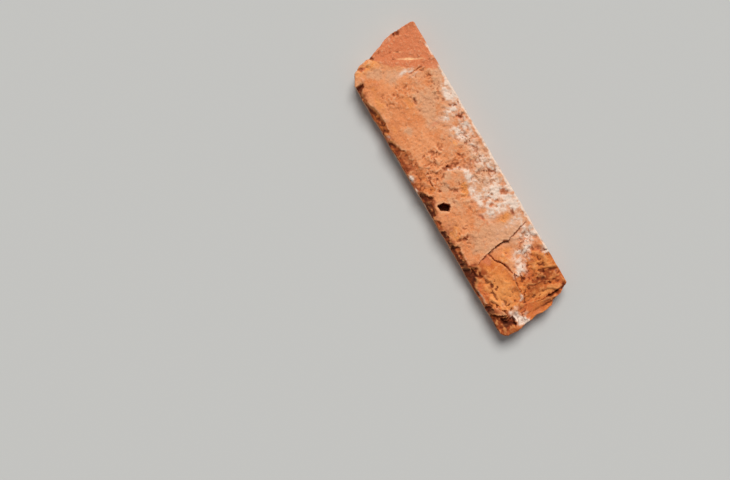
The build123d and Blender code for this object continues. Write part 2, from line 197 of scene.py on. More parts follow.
# Small lumps: place, reaches and height
LUMPS = [
    (-85, -7, 1.5, 1.2, 0.7), (-83, -12, 1.6, 1.2, 0.4), (-69, -17, 1.4, 1.2, 0.6),
    (-118.5, 6.5, 1.2, 1.2, 0.5), (-102, 15, 1.3, 1.3, 0.3), (-106, -25.5, 1.6, 1.2, 0.6),
    (-24, -6, 1.5, 2.6, 0.8), (-21.5, -10, 2.6, 1.5, 0.4), (-57, -29.8, 2.2, 1.1, 0.6),
    (12, 20, 5, 3.5, 0.5), (17, 12, 4, 4, 0.4), (34, 14, 4.5, 4, 0.5), (3, 8.5, 2.5, 2.2, 0.5),
    (-9, -23, 3, 2.2, 0.7), (-7, -22, 1.3, 1.2, 0.5), (-24, -28, 2.5, 2, 0.6), (-19.5, -31, 2.4, 1.6, 1.1),
    (-10, -31.5, 2.6, 1.3, 0.9), (24, -29, 2.4, 1.8, 0.5), (103, -4.4, 2.8, 1.2, 0.9),
    (107, -8, 3.2, 1.6, 0.7), (111.5, -12.5, 3.6, 2.4, 0.7), (117, -11.5, 5, 4, 0.7),
    (80.5, -19.2, 3.2, 1.7, 1), (84, -25, 5, 2.6, 1), (92, -25, 4, 3.2, 1), (103.5, -19.2, 4.5, 1.2, 1),
    (104.5, -22.2, 4, 1.2, 0.8), (87, -30.2, 9, 1.3, 1), (118, -28, 4, 2.6, 0.8),
    (65.5, -25, 1.6, 1.3, 1.2), (70.5, -24.4, 2.2, 1.3, 1.5), (67.5, -28.6, 2.4, 1.4, 1.3),
    (63.2, -29, 1.6, 1.4, 1.1), (74.2, -27.4, 1.8, 1.2, 1), (4, -29.4, 1.8, 1.1, 1.9),
    (7.4, -30.6, 1.4, 0.8, 1.3), (0.2, -28.4, 1.2, 1, 1.2), (-3.4, -30.6, 1.4, 0.9, 1.2),
    (10, -30.2, 2.2, 1, 1.3), (33, -30.8, 1.8, 0.9, 1.3), (39, -30.9, 1.6, 0.8, 1.2),
    (47, -29.6, 1.6, 1.2, 1.2), (52, -29.9, 2.2, 1.1, 1.3), (56.5, -29.2, 1.3, 1.1, 1),
    (-97, -30.6, 1.4, 0.9, 0.9), (-84, -30.4, 1.8, 0.8, 0.9), (-76, -29.4, 1.6, 1, 1),
    (-69, -30, 2, 0.9, 1), (-62, -29.4, 1.4, 1, 0.9), (83, -9, 4.5, 2.6, 0.6), (94, -13, 6, 2.4, 0.7),
    (77, -13, 3, 2.4, 0.5), (101, -9, 3, 3.4, 0.5), (95.6, -7, 1.4, 1, 0.4), (97, -12.5, 1.2, 1, 0.5),
    (103.2, -9.2, 1.6, 1, 0.5), (122, -23.5, 3, 2.4, 0.7), (117.6, -21.6, 1.3, 1, 0.9),
    (90, 27, 8, 3.6, 1.2), (87, 17, 4, 3.5, 0.9), (110.8, 20, 1.8, 5, 0.6), (99, 5, 3, 2, 0.5),
    (90, 0, 5, 2.6, 1.6), (88.2, 1.8, 3.5, 1.7, 1), (103, -2, 5, 1.8, 1), (97.5, -0.8, 5, 2.4, 1.7),
]
# The flat lump in the middle: outline and height
MIDDLE_LUMP = [
    (-2, 9.5), (-6.5, 5), (-10, -0.5), (-10.6, -6), (-7, -9.8), (-2, -10.5), (3.5, -9), (7, -3), (10, 4),
    (3, 9.5),
]
MIDDLE_HEIGHT = 1.7
# Creases and furrows: width, depth and route
CREASES = [
    (4, 1.9, (-13.5, -8), (-13.4, -1), (-12, 4), (-8.4, 8.4), (-4, 11.5)),
    (3, 1, (-9.8, -9), (-5, -11.6), (1, -11.4)), (4, -0.6, (19.5, 3), (16, -5), (12.5, -13)),
    (2.8, 1.6, (-14.4, -3.4), (-12.8, -2.4), (-11.6, -1)), (1.8, 0.6, (3.4, -9.8), (5.6, -6.4), (7, -3.4)),
    (2, 1, (-1.2, -0.4), (0.8, -1.4)), (2, 0.9, (-13.2, 0.5), (-12.2, 2.5)),
    (1.7, 0.9, (-20, 9), (-17, 10.4), (-14, 13)), (2.6, 1.2, (-29.5, -9), (-27, -6), (-24.5, -2.6)),
    (2.2, 1.3, (-30.5, -16), (-29.4, -14)), (2.2, 1.3, (-28, -23.8), (-25, -22.2), (-22.5, -20.8)),
    (2.2, 1.6, (-16.4, -20.8), (-12, -19.8), (-8, -20.8), (-4, -18.4)),
    (1.4, 0.8, (-10.2, -13.2), (-8.5, -14.6)), (1.9, 1.3, (0.2, -18.6), (1.8, -16.6)),
    (3, 1.3, (4, 20.5), (7, 24.5), (8.6, 28.5)), (2.8, 1.9, (-15.4, 20.4), (-11, 22.8)),
    (1.6, 0.7, (-31, 13.8), (-26.5, 16.5)), (2.2, 1.3, (-24, 17.6), (-21.4, 19.8)),
    (2.4, 0.9, (-7.5, 26), (-5.5, 28)), (2.6, 0.8, (-5, 12.5), (-2, 14)),
    (1.8, 1.1, (-55.5, 30.2), (-52.5, 28.8)), (2.2, 1.3, (-50.8, 27), (-52.8, 25.6), (-53.2, 23.5)),
    (3.4, 1.1, (-44.5, 28.5), (-42, 24)), (1.6, 0.8, (-90.2, 19), (-87.5, 20.5)),
    (1.6, 0.4, (-86, 21), (-73, 21.2), (-66, 20.4)), (2.4, 1, (31.2, 10), (30.8, 13), (32, 15)),
    (2.6, 0.9, (39.5, 24), (44.5, 22.4)), (2, 0.8, (0.5, -1.6), (3.2, -1.2)),
    (1.8, 0.5, (4, -4), (9, -6.5), (14, -9)), (1.3, 1, (38.5, -14), (41, -17), (43.5, -19.5)),
    (2.6, 2.4, (42.6, -17.6), (41.6, -21), (41, -26)), (1.2, 0.6, (47, -17.5), (45.2, -19.8)),
    (2, 1.3, (76.2, -19), (77.8, -17.1), (81, -16.6), (84.4, -17.6)),
    (2.8, 1.9, (82, -21.6), (85.2, -21), (86, -19.2)), (1.5, 0.9, (88, -18.6), (88.4, -15.4)),
    (1.8, 0.9, (103.4, -15.4), (106, -17)), (1.8, 0.9, (108, -15.4), (110.2, -17.4)),
    (2, 0.8, (99, -23.8), (103, -21), (108.5, -20.4)), (2.2, 1.2, (95.5, -28), (99, -24.8), (104, -23.4)),
    (2.8, 1.2, (92.8, 17), (94.6, 19.6), (96.4, 22.4)), (2.2, 1, (91.4, 8), (92.8, 3.2)),
    (2.8, 0.8, (96.4, 8.6), (97.6, 11)), (2, 0.8, (97.8, 15), (99.8, 11.6)),
    (2.2, 0.8, (102.6, 15.2), (104.4, 19.4)), (2, 0.8, (105.2, 20.6), (107.2, 23)),
    (1.8, 0.6, (86.4, 15.5), (89.4, 19)), (1.6, 0.5, (82, 11.5), (85, 15)),
    (1.8, 0.6, (88.6, 10.5), (90.4, 14.5)), (1.3, 0.5, (100.2, 6), (101.6, 1)),
    (1.5, 0.7, (102.8, 5), (104, 0.4), (106.4, -3)), (1.2, 0.4, (105.2, 3.4), (107.2, -1)),
    (1.8, 0.7, (100.5, 32), (101.8, 29.5)), (2.2, 1.4, (76.8, 22.4), (77.4, 25.5)),
    (1.6, 0.9, (118.6, 24), (119.6, 17), (119.4, 8)), (1.3, 0.5, (108.5, 14), (109.6, 6), (109.2, -2)),
    (1.3, 0.4, (112, 13), (112.4, 3), (112, -6)),
]
# Round pits in the skin: place, reaches and height
PITS = [
    (-113.2, 4.4, 1.2, 1.3, -1), (-107.4, 3.6, 1.1, 1, -1), (-111.5, 10.2, 1.3, 1.1, -0.6),
    (-107, 19.2, 1, 1, -0.6), (-118, -3.6, 1.4, 1, -0.8), (-71.2, 1.4, 1.3, 1, -1),
    (-75.2, 1, 1.1, 0.8, -0.6), (-78.5, 1.4, 1, 0.9, -0.7), (-62.2, 1.4, 1.3, 1.2, -0.6),
    (-61, 21.6, 1.2, 1.2, -0.9), (-67.6, 17.4, 1.3, 1.8, -0.6), (-64, 18, 1, 1.2, -0.5),
    (-87.2, 12.2, 1.1, 1, -0.8), (-92.6, 27.4, 1.2, 1, -0.7), (-90.8, 25.8, 1, 0.8, -0.6),
    (-97.6, 16.4, 1, 0.8, -0.4), (-84.6, -5.4, 1.2, 0.7, -0.7), (-81.2, -8, 1.1, 0.8, -0.7),
    (-82.8, -10.4, 0.9, 0.7, -0.7), (-78.6, -11, 1.2, 0.7, -0.7), (-76.8, -14, 1, 0.8, -0.6),
    (-81, -13.2, 0.9, 0.7, -0.6), (35, 0.8, 1.6, 1, -0.9), (1.6, -26.6, 1.2, 0.9, -0.9),
    (49.6, -28.4, 1.1, 0.8, -1), (39.8, 1.8, 0.9, 1, -0.6), (-79.6, -15.8, 1.6, 0.9, -1),
    (-78.4, -18.6, 1.3, 1.1, -0.8), (25.6, 26, 2.6, 2.8, -1.8), (-113.4, -22.8, 1.8, 2.6, -1.8),
    (-117.4, -10.6, 2.4, 1.5, -2.4), (-124.4, 16.8, 1.9, 1.5, -1.9), (-123.9, 13.6, 1.8, 1.3, -2.4),
    (-122, 10.8, 1.6, 0.9, -0.7), (23.5, -3, 1.6, 2, -0.6), (28.4, -2.4, 1.6, 1.6, -0.5),
    (68.6, -26.4, 2, 1, -1.6), (64, -26.8, 1.2, 1.6, -1), (72.4, -22.8, 1.6, 0.9, -1.2),
    (60.6, 6.6, 1.6, 2.6, -1.8), (58.3, 17.6, 1.3, 1.5, -1), (76.8, -2.4, 1.5, 1.2, -1.6),
    (115, 23, 1.7, 2.2, -2.8), (114.7, 17, 1.3, 1.4, -1.6), (114.2, 30.2, 3, 1.5, -2.2),
]
# Where frost and old mortar have roughened the skin: place, reaches and strength
ROUGHENED = [
    (-76, 24, 22, 7, 0.45), (-70, 8, 22, 14, 0.25), (-30, 4, 18, 15, 0.35), (22, -15, 24, 12, 0.3),
    (0, 26, 48, 8, 0.4), (-43, 27, 6, 5, 0.9), (-31, 22, 8, 8, 0.8), (-14, 24, 11, 8, 0.9),
    (6, 22, 10, 9, 1.3), (28, 17, 12, 12, 0.9), (-10, 11, 10, 7, 0.7), (-15, -3, 7, 8, 1.1),
    (-26, -5, 5, 7, 1), (-12, -17, 12, 6, 0.9), (-20, -12, 8, 5, 0.5), (2, -4, 8, 6, 0.5),
    (3, 9, 6, 3, 0.6), (-79, -12, 7, 9, 0.9), (-74, 2, 9, 3, 0.9), (-72, 20, 16, 3, 0.5),
    (66, 24, 9, 8, 1.2), (82, 8, 9, 8, 0.9), (73, 17, 5, 6, 1.2), (38, -19, 8, 6, 0.5),
    (-15, -24, 13, 5, 0.9), (-40, -28, 8, 4, 0.7), (26, -2, 8, 4, 0.5), (8, -3, 9, 5, 0.4),
    (-112, -20, 5, 9, 0.5), (-105, -27, 4, 4, 0.5),
]


def moulded(x, y):
    """The struck skin: broad gentle waves and a tooth of fine crumbs."""
    tooth = 0.32 * rough(x, y, 3, 9, 3, 0.62) + 0.3 * crumbs(x + 0.5 * noise(x, y, 2.2, 14), y, 1.7, 13)
    return 0.3 * rough(x, y, 11, 1) + tooth - 0.1


def smooth(x, y):
    """Broad dips, soft lumps and faint streaks that fan down the break."""
    streak = rough(0.5 * x + 0.87 * y, 0.2 * (0.87 * x - 0.5 * y), 4, 20, 3)
    lumps = np.maximum(rough(x, y, 6.5, 27, 3), 0)
    return 1.2 * rough(x, y, 13, 21, 3) + 0.25 * streak + 1.3 * lumps + 0.12 * rough(x, y, 2.4, 25, 3) - 0.2


def folded(x, y):
    """Lumps and sharp-backed folds, drawn out in the direction that the break ran."""
    along, across = 0.42 * x + 0.91 * y, 0.91 * x - 0.42 * y
    bend = across + 2.4 * rough(x, y, 9, 30, 4, 0.6)
    folds = 1 - 2 * np.abs(rough(bend, 0.45 * along, 9, 31, 3, 0.5))
    chunks = crumbs(bend, 0.55 * along, 6.4, 238) + 0.4 * crumbs(bend, 0.7 * along, 2.8, 236)
    chunks += 0.6 * crumbs(bend, 0.4 * along, 3.4, 37)
    torn = 0.7 * rough(bend, 0.6 * along, 6.5, 35, 5, 0.62) + 0.4 * rough(x, y, 4, 240, 4, 0.62)
    return 0.2 * folds + 0.8 * chunks + torn - 1


def streaked(x, y):
    """Faint upright streaks along the end, on slow waves."""
    streaks = rough(x - 0.12 * y + 0.8 * rough(x, y, 9, 39, 2), 0.12 * y, 3, 40, 4, 0.6)
    chunks = crumbs(x + 1.5 * rough(x, y, 6, 47, 3), 0.5 * y, 5, 48)
    return 0.34 * streaks + 0.22 * chunks + 0.42 * rough(x, y, 10, 45, 5, 0.5) - 0.1


def mottled(x, y):
    """Shallow dents of several sizes."""
    return 0.85 * rough(x, y, 7.5, 55, 5, 0.62)


def crumbled(x, y):
    """Crumbs of several sizes and the holes that they fell from."""
    bent_x, bent_y = x + 1.2 * rough(x, y, 4, 51, 3), y + 1.2 * rough(x, y, 4, 53, 3)
    lumps = 1.1 * crumbs(bent_x, bent_y, 5.6, 50) + 0.6 * crumbs(bent_x, bent_y, 2.4, 52)
    return lumps + rough(x, y, 7, 56, 4, 0.58) - 0.95


# Where the skin has broken away, each running on under the deeper ones after it: outline, depth at its first
# point and how much deeper for each millimetre along and across, how steep the wall round it is or 0 for
# none, how ragged the outline, the grain of the break, how raw it is, and how browned by old dirt and painted
# shade
BREAKS = [
    ([(55, 29.5), (57, 18.5), (60, 8), (58.8, 0.5), (61.5, -9.5), (69, -7), (75, -3), (85, -0.8), (90, 3),
      (79, 12.5), (77, 24), (85, 41), (55, 41)], (0.7, 0.035, -0.012), 0, 1, smooth, 0.3, 0),
    ([(61.5, -9.5), (66, -24), (85, -23.5), (102, -23), (121, -20), (114, -6), (109, 2), (103, -3),
      (85, -0.8), (75, -3), (69, -7)], (0.25, 0.05, 0), 0, 1, smooth, 0.8, 0),
    ([(77, 24), (79, 12.5), (90, 3), (85, -0.8), (103, -3), (109, -5), (112.5, 5), (114, 13), (117, 20),
      (122, 27), (124, 41), (85, 41)], (1.6, 0.05, -0.03), 0, 1, folded, 1, 0.25),
    ([(67, -21), (60, -41), (100, -41), (102, -19.5), (85, -20)],
     (0.8, 0.055, -0.13), 0.9, 1.2, crumbled, 0.85, 0.1),
    ([(111.5, -20), (107, -28), (102, -41), (134, -41), (134, -9), (114, -9)],
     (3.1, 0.03, -0.06), 0, 1.2, crumbled, 1, 0.4),
    ([(113, 27), (109.5, 20), (107.5, 13), (105.5, 5), (103, -3), (106, -6), (114, -16.5), (134, -17),
      (134, 41), (121, 41)], (4.6, 0.05, -0.02), 0.6, 1, streaked, 1, 0.05),
    ([(-103.3, -31), (-102.8, -27), (-100.8, -26.4), (-99, -28), (-96, -29.8), (-92, -31.2), (-91, -41),
      (-104, -41)], (3.5, 0.03, -0.5), 1.6, 0.6, crumbled, 0.8, 0.8),
    ([(-93, -30.4), (-88.5, -29.8), (-85, -29.2), (-82, -27.8), (-79, -27), (-74, -26.8), (-66, -26.8),
      (-61, -27), (-58.5, -27.6), (-57.8, -28.8), (-58.8, -30.3), (-57, -31.8), (-55, -32.6), (-54.5, -41),
      (-94, -41)], (4.4, 0, -0.6), 1.5, 0.7, crumbled, 1, 0.6),
    ([(-40.8, -22.5), (-39.6, -20), (-36, -19), (-31, -18.8), (-26, -20), (-22, -20.8), (-16, -19.8),
      (-9, -19.8), (-4, -18.2), (-1, -20), (0, -24), (-4, -29), (-6, -41), (-44, -41), (-41.5, -25)],
     (0.4, 0.05, -0.26), 0.5, 1, mottled, 0.6, 0),
    ([(-53.4, -32), (-52.3, -30.6), (-50.5, -29.4), (-48, -28.2), (-44, -26.8), (-41.5, -25), (-38, -25.6),
      (-34, -28), (-31, -30.5), (-29, -41), (-55, -41)],
     (2.2, -0.03, -0.15), 2, 0.7, crumbled, 0.8, 0.35),
    ([(-2.5, -28.6), (-1, -25.2), (2, -24.8), (4.5, -26.6), (8, -26.8), (12, -26.2), (14.8, -27.8),
      (17, -41), (-3, -41)], (2.5, 0, -0.3), 1.5, 1.5, crumbled, 0.9, 0.7),
    ([(-6.5, -31.6), (-5.5, -30.2), (-3, -29.4), (-1.5, -27.6), (-0.6, -25.8), (0.4, -25.8), (1.5, -27.6),
      (4, -28.4), (8, -29.2), (12, -28.8), (14.5, -28.4), (15, -29.2), (16, -30.8), (19, -32.2), (20, -41),
      (-8, -41)], (4.8, 0, -0.6), 2.5, 1.5, crumbled, 1, 0.8),
    ([(18.5, -31), (21, -29.2), (24.5, -29.6), (26.5, -31.4), (27, -41), (18, -41)],
     (1.2, 0, -0.1), 1.5, 1.4, crumbled, 0.9, 0.6),
    ([(28.2, -31.6), (30.3, -29.6), (33, -30), (34.5, -29.4), (36, -30.6), (39, -30), (42, -31), (43, -41),
      (27.5, -41)], (2.8, 0, -0.6), 2.5, 1.5, crumbled, 1, 0.8),
    ([(42.6, -31.4), (43.5, -29.6), (44.8, -27.6), (46.5, -26.6), (49, -26.8), (52, -27.2), (56, -27.4),
      (58.5, -28.2), (60.5, -29), (61, -41), (42, -41)], (4.4, 0, -0.55), 2.5, 1.3, crumbled, 1, 0.5),
    ([(57.5, -31.4), (59.5, -29.6), (63, -27), (65.3, -24.2), (67, -22), (70, -21.8), (72.5, -21.4),
      (75.3, -21.2), (76.5, -23), (75, -24.8), (74.6, -26.6), (76.5, -28.2), (79.5, -29.8), (82, -31.6),
      (84, -41), (57, -41)], (6.6, 0.02, -0.45), 1, 1.3, crumbled, 1, 0.45),
    ([(96.6, -31), (97.4, -28.6), (100, -27.6), (102, -29), (104.5, -31.2), (107, -41), (96, -41)],
     (6.2, 0, 0.15), 2.2, 1.4, crumbled, 1, 1),
]
# Folds like scales: the line along which the break drops, from nothing at its start, how wide the scale to
# the right of that line has grown at its end, and the drop there
FOLDS = [
    ((84, 8), (88.5, 23.5), 6, 1.2), ((91.5, 2.5), (95.5, 18), 6.5, 1.1),
    ((92, 16.5), (98.5, 32.5), 7, 1.4), ((98.5, 1), (103, 18.5), 5, 1.4),
    ((101.5, 16), (107.5, 30), 4.5, 1.2), ((117.8, -6), (119, 18.5), 9, 1.4),
    ((77, -21.5), (87, -18), 5, 1.8), ((95, -30), (109, -19.3), 5.5, 1.8),
]
# Holes with steep sides: outline, depth, how wide the slope of the side is and how ragged the outline
HOLES = [
    ([(13, -15.4), (18.2, -19.2), (13.8, -24.2), (9.2, -24.4), (9.8, -19.6)], 11.5, 0.9, 0.4),
    ([(109.2, -27.4), (111.4, -23.8), (113.4, -20.8), (114.2, -17.2), (116.8, -16.4), (119, -18),
      (123, -17.4), (123.8, -19.6), (121, -22), (118.6, -24), (116, -25.2), (113.6, -27.8),
      (110.8, -28.6)], 4.4, 1.9, 1.3),
]
# Cracks: width, depth and route. The last is a fine straight furrow in the old face.
CRACKS = [
    (1, 1.6, (55, 29.5), (56.6, 23), (58.4, 17.4), (60.2, 10.5)),
    (1.4, 2.4, (60.2, 12), (60, 8), (59.6, 4), (59.4, 0)), (1, 1.9, (59.4, 2), (60.6, -6), (61.7, -9.6)),
    (1.4, 2.3, (61.7, -9.6), (69, -7), (73, -4.4), (78, -2), (86, -0.9)),
    (1.5, 2.4, (72.5, -4.6), (75.2, -2.9), (77.6, -2)), (1, 1.2, (60.2, 10.5), (61.6, 8.4)),
    (2.6, 3, (114, 29.5), (114.4, 22), (114.6, 15)), (1.8, 1.4, (114.6, 17), (114.2, 8)),
    (1.1, 1.2, (-91.4, 20.8), (-91, 14), (-91.2, 7.5)),
]
# Where mortar has left lime, and where the face is pale: place, reaches and strength
LIME = [
    (20, 20, 32, 12, 0.7), (-10, 22, 13, 9, 0.4), (67, 20, 8, 12, 0.4), (-40, 25.5, 26, 7, 0.62),
    (-75, 30, 10, 3, 0.5), (-61, 28, 11, 3.6, 1.4), (-69, 31, 8, 1.6, 0.9), (-48.5, 18.5, 3.6, 6.5, 1.3),
    (-49, 25, 3, 4, 0.6), (-34.5, 18, 8, 6, 1.4), (-31, 27, 8, 4, 0.6), (-14, 25, 4, 3.5, 0.5),
    (-17, 30.5, 6, 2.5, -0.6), (3, 29.5, 7, 3.5, 1.8), (2, 8.4, 6, 2.6, 1.2), (8.6, 0.4, 4.6, 2.2, -1.1),
    (46, 25, 5, 4, 0.8), (52, 5, 5, 14, 0.25), (13, 4.5, 4.5, 4.5, 1.1), (-16, 17, 8, 4, -0.3),
    (24, 24, 9, 8, 1.1), (28, 9.5, 11, 7, 1.4), (30, 13, 3, 3.4, -0.9), (33.6, 16, 3, 4, 1.2),
    (15, 20, 3, 4, -0.6), (14, 11, 3, 2, -0.5), (-1, -8, 9, 3, 0.35), (38, 28, 9, 6, 1.1),
    (50, 28, 6, 4, 0.5), (48, 20, 4, 9, 0.7), (44.5, 15, 4, 6, -1.3), (25.6, 26, 2.2, 2.6, -1.2),
    (31.2, 12.5, 1.4, 2.6, -0.8), (43, 23.4, 3.4, 1.6, -0.9), (7, 24.5, 2.2, 4, -0.6),
    (-93.6, 7.5, 2.2, 6, 1.4), (-88.8, 12, 1, 8, 0.5), (64, 25, 6, 7, 1.5), (112.5, -17, 3, 3, 0.6),
    (4, 9.5, 4, 3.5, 0.4), (-32, 30.5, 4, 2, -0.4), (73, 18, 2.8, 6.5, 1.2), (82.5, 7.5, 8, 4.2, 1.05),
    (88, 4, 3.5, 3, 0.6), (100, 29.5, 3, 2, 0.35), (121, -11.6, 6, 4.6, 3), (115, -14.6, 2.6, 2.8, 0.8),
    (80, 17, 4, 4, 0.6), (-108, -25, 4, 5, -0.1), (82, 30, 5, 2.5, 0.9), (109.5, -16.5, 4, 4, 0.65),
    (88, -1, 4.5, 2.2, 0.5), (101, -18, 4, 2, 0.5), (105, -11, 4, 3, 0.4), (-8, -24, 4, 2.5, 0.5),
    (10, 30, 3, 2.5, -0.5), (88, 18, 3, 3, 0.5), (74, 12, 4, 5, 0.8), (-19.5, -31, 3, 2, 1.8),
    (-10.5, -32, 3, 1.2, 1), (-56.5, -30, 2, 1.2, 0.5), (-106, -25.5, 1.6, 1.2, 0.4),
    (-122.5, 8, 1.8, 2, 0.5),
]
PALE = [
    (6, 21, 44, 10, 0.6), (-70, 14, 18, 13, 0.9), (-76, 27, 12, 4, 1), (85, 11, 6, 8, 0.9),
    (-50, 8, 14, 8, 0.6), (-30, 6, 12, 6, 0.3), (51, 8, 9, 26, 1.35), (56, -10, 6, 14, 0.7),
    (5, -12, 11, 4, 1), (44, -6, 7, 6, 0.6), (34, -1, 9, 5, 0.7), (-53, -15, 4, 4, 1.2),
    (-104, -14, 5, 4, 0.9), (-96, -3, 5, 6, 0.8), (-8, -10, 8, 5, 0.4), (20, -8, 7, 8, 0.6),
    (-2, -1, 8, 7, 0.9), (12, 16, 12, 10, 0.9), (-12, 24, 10, 7, 0.7), (110, -14, 4, 3, 0.7),
    (109, -20, 3.5, 4, 1), (-108, -24, 5, 6, 0.4), (-20, 6, 6, 5, 0.6), (-8, -24, 4, 3, 0.6),
    (-104, -18, 4, 4, 0.6),
]
# The outline of the red corner at the square end, and smaller red spots
RED_ZONE = [
    (-135, 41), (-83, 41), (-85.5, 27.5), (-89.5, 22), (-92.5, 18), (-97, 8), (-103, 0), (-109, -6),
    (-114, -10), (-135, -12),
]
RED = [
    (-6, 17, 4, 3, 0.5), (8, 26, 4, 6, 0.5), (-20, 29, 6, 2.5, 0.5), (-119, 27, 4, 4, 0.6),
    (-52.5, 27, 2.2, 3.4, 1.1), (-42.5, 26.5, 3.6, 3.6, 1.1), (-83, 14, 3, 5, 0.5), (25.6, 26, 2.6, 3, 1.2),
    (20, 29, 2, 1.6, 0.7), (31.5, 13, 1.8, 3.2, 0.9), (40.5, 9, 1.8, 3, 0.6), (34.8, 0.8, 2.8, 1.6, 2.4),
    (58.5, 24, 1.5, 3, 1), (40.5, 2, 1.5, 1.5, 1), (78.5, 25, 3, 3, 1.1), (82, 17, 4, 4, 0.5),
    (66, -12, 4, 3, 1.5), (64.5, -12, 2.4, 2.2, 1), (71, 4, 5, 5, 0.6), (64, -17, 3, 4, 0.5),
    (70, -27, 5, 3, 0.8), (80, -29, 2.6, 1.5, 1), (-47, 8, 2.5, 8, 0.5), (116, -8, 1.4, 2.2, 1.1),
    (122, -7, 2, 1.6, 0.8), (121, 2, 2, 6, 0.6), (-112.8, -21.5, 1.8, 2.6, 1.1), (-98, -17, 4, 3, 0.5),
    (9, -6, 5, 2, 0.8), (-40, -29, 6, 3, 0.5), (52, -30, 7, 2, 0.7), (20, -22, 2, 2, 0.6),
]
# Where the face is bright orange
BRIGHT = [
    (6, 2.2, 2.4, 2, 2.2), (9.2, -0.2, 2.6, 2, 2.4), (12.2, -2.6, 2.2, 1.8, 2), (88, 18, 4, 4, 1),
    (43.5, 15.5, 3.4, 6, 1.4), (-26, 12, 2.6, 1.8, 1.1), (35, -24.5, 6, 5, 1.3), (-112, -13, 4, 7, 0.9),
    (-70, -4, 10, 5, 0.6), (-88, -22, 9, 3, 0.6), (-55, -24, 10, 3, 0.4), (69, 1, 7, 5.5, 0.7),
    (92, -13, 16, 8, 1.2), (94, -21, 13, 6, 1), (70, 3, 6, 5, 0.5), (91, 26, 6, 5, 1.1),
    (111, 19, 2.5, 8, 1.3), (109.5, 4, 2.5, 6, 0.7), (-112, -25, 4, 5, 0.7), (-80, -24, 7, 4, 0.5),
    (25, -30, 2, 2, 0.9),
]
# Where old dirt and damp have browned a break, and painted shade: brown laid along the worn arris, in its
# chips and holes and on the folds of the break, where shade falls
BROWN_AND_SHADE = [
    (-15, -32.5, 90, 2, 0.6), (114, -25, 9, 6, 0.6), (109, -30, 6, 3, 0.5), (-101.5, -29, 2.4, 3, 0.5),
    (-73, -30.5, 17, 3, 0.6), (-96.5, -30, 6, 2.5, 0.6), (-48, -29.5, 8, 3.2, 1.15), (-35, -24, 6, 4, 0.5),
    (-26, -30, 8, 3, 0.5), (-14, -31, 6, 2, 0.4), (-23, -22, 3, 1.5, 0.4), (5, -30, 12, 2.8, 1.5),
    (38, -30.5, 8, 2.4, 1.7), (-26, -25, 5, 3, 0.4), (52, -29.5, 9, 2.8, 0.8), (57, -30.5, 6, 2, 1.6),
    (-2, -30.5, 5, 2, 1.6), (3, -25, 3, 2, 0.6), (68.5, -26.5, 5.5, 4.5, 1.4), (69, -30.5, 7.5, 2.4, 1.9),
    (74, -19, 4, 3, 0.45), (64, -24, 2.5, 3, 1), (78, -26.5, 4, 3, 0.3), (77, -30, 3, 2.5, 0.4),
    (112, -30, 4, 2.5, 0.4), (46, -23.5, 4, 2.5, 0.3), (88, 30, 4, 3, 0.3), (70, -6, 4, 2.5, 0.28),
    (77, -18, 3, 2.5, 0.25), (100, -30.4, 5, 3, 2.2), (82, -32, 5, 1.6, 1.2), (119.5, 12, 2.5, 8, 0.5),
    (115, -22.5, 5.5, 4.5, 0.9), (119, -27, 6, 4, 0.4), (103.5, -25.5, 3, 2.5, 0.55), (68, 1.5, 7, 5, 0.24),
    (35, -25, 5, 4, 0.22), (99, 14, 7, 12, 0.65), (99, 21, 4.5, 7, 0.8), (3, -25, 5, 3, 0.35),
    (28, -26, 7, 5, 0.55), (28, -31, 18, 1.8, 0.6), (98, -31.5, 6, 2, 0.8), (-84, 17, 3, 3, 0.3),
    (45, -14, 3, 5, 0.45), (52, -25, 4, 2, 0.35), (5, -29.2, 2.4, 1.1, -1), (11, -29.8, 2.2, 1, -1),
    (36.5, -30.6, 2.2, 0.9, -0.9), (47.5, -29.6, 1.8, 1.2, -0.9), (53, -29.8, 2.4, 1, -0.9),
    (43.5, 15, 2.6, 5, 0.24), (-10, -20.2, 6, 1, 0.25), (8, -28, 7, 2.2, 0.9), (-13.4, 21.4, 2, 1.2, 0.5),
    (9, 0, 3.6, 1.8, 0.22), (-123, 29, 2.5, 4, 0.3), (-90, -31.5, 4, 1.6, 0.6), (66, -19, 4, 3, 0.3),
    (108, -32, 12, 2.5, 0.6), (-33, -31, 6, 1.6, 0.8), (-5, 12, 3, 2.5, 0.35), (-1.5, 13, 3.5, 2.2, 0.35),
    (70, -31.5, 12, 2.2, 1.2), (-53, -30.5, 6, 2, 0.9), (-125.5, 20, 2.5, 11, 0.35), (101, 28, 6, 5, 0.6),
    (78, 25, 2.4, 3, 0.5), (113.5, 30.5, 3, 2, 1.2), (104, 3, 4, 6, 0.25), (116, 15, 2.6, 12, 0.65),
    (84.5, -20.8, 2.4, 1.6, 0.8), (-42, 27, 3.4, 3, 0.5), (-53, 26, 2, 3, 0.6), (43, 23, 3.4, 1.6, 0.7),
    (41.6, -22.5, 1.4, 3, 0.7), (-13.4, -1.5, 1.4, 5, 0.8), (-11.2, 5, 1.4, 2.4, 0.6),
    (4.4, -6, 2, 4, 0.15), (0.5, -1.2, 1.8, 1, 0.5), (35.2, 0.8, 1.8, 1.2, 0.6), (39.8, 1.8, 1, 1.4, 0.5),
    (6.5, 24, 3.4, 5, 0.35), (-124, 15, 2, 3, 0.9), (-117.4, -10.8, 1.8, 1.4, 0.9),
]
# Straight tan scratches in the clay: width, strength and route
SCRATCHES = [
    (1.6, 1.1, (-107.6, 4), (-101, 15), (-95.2, 27)), (2.4, 0.7, (-103.6, 11.6), (-100, 18)),
    (1.2, 0.8, (-112.8, 5.4), (-108.3, 14)), (1, 0.6, (-98.4, 2), (-93.6, 12)),
]
SCRATCH_DEPTH = 0.15
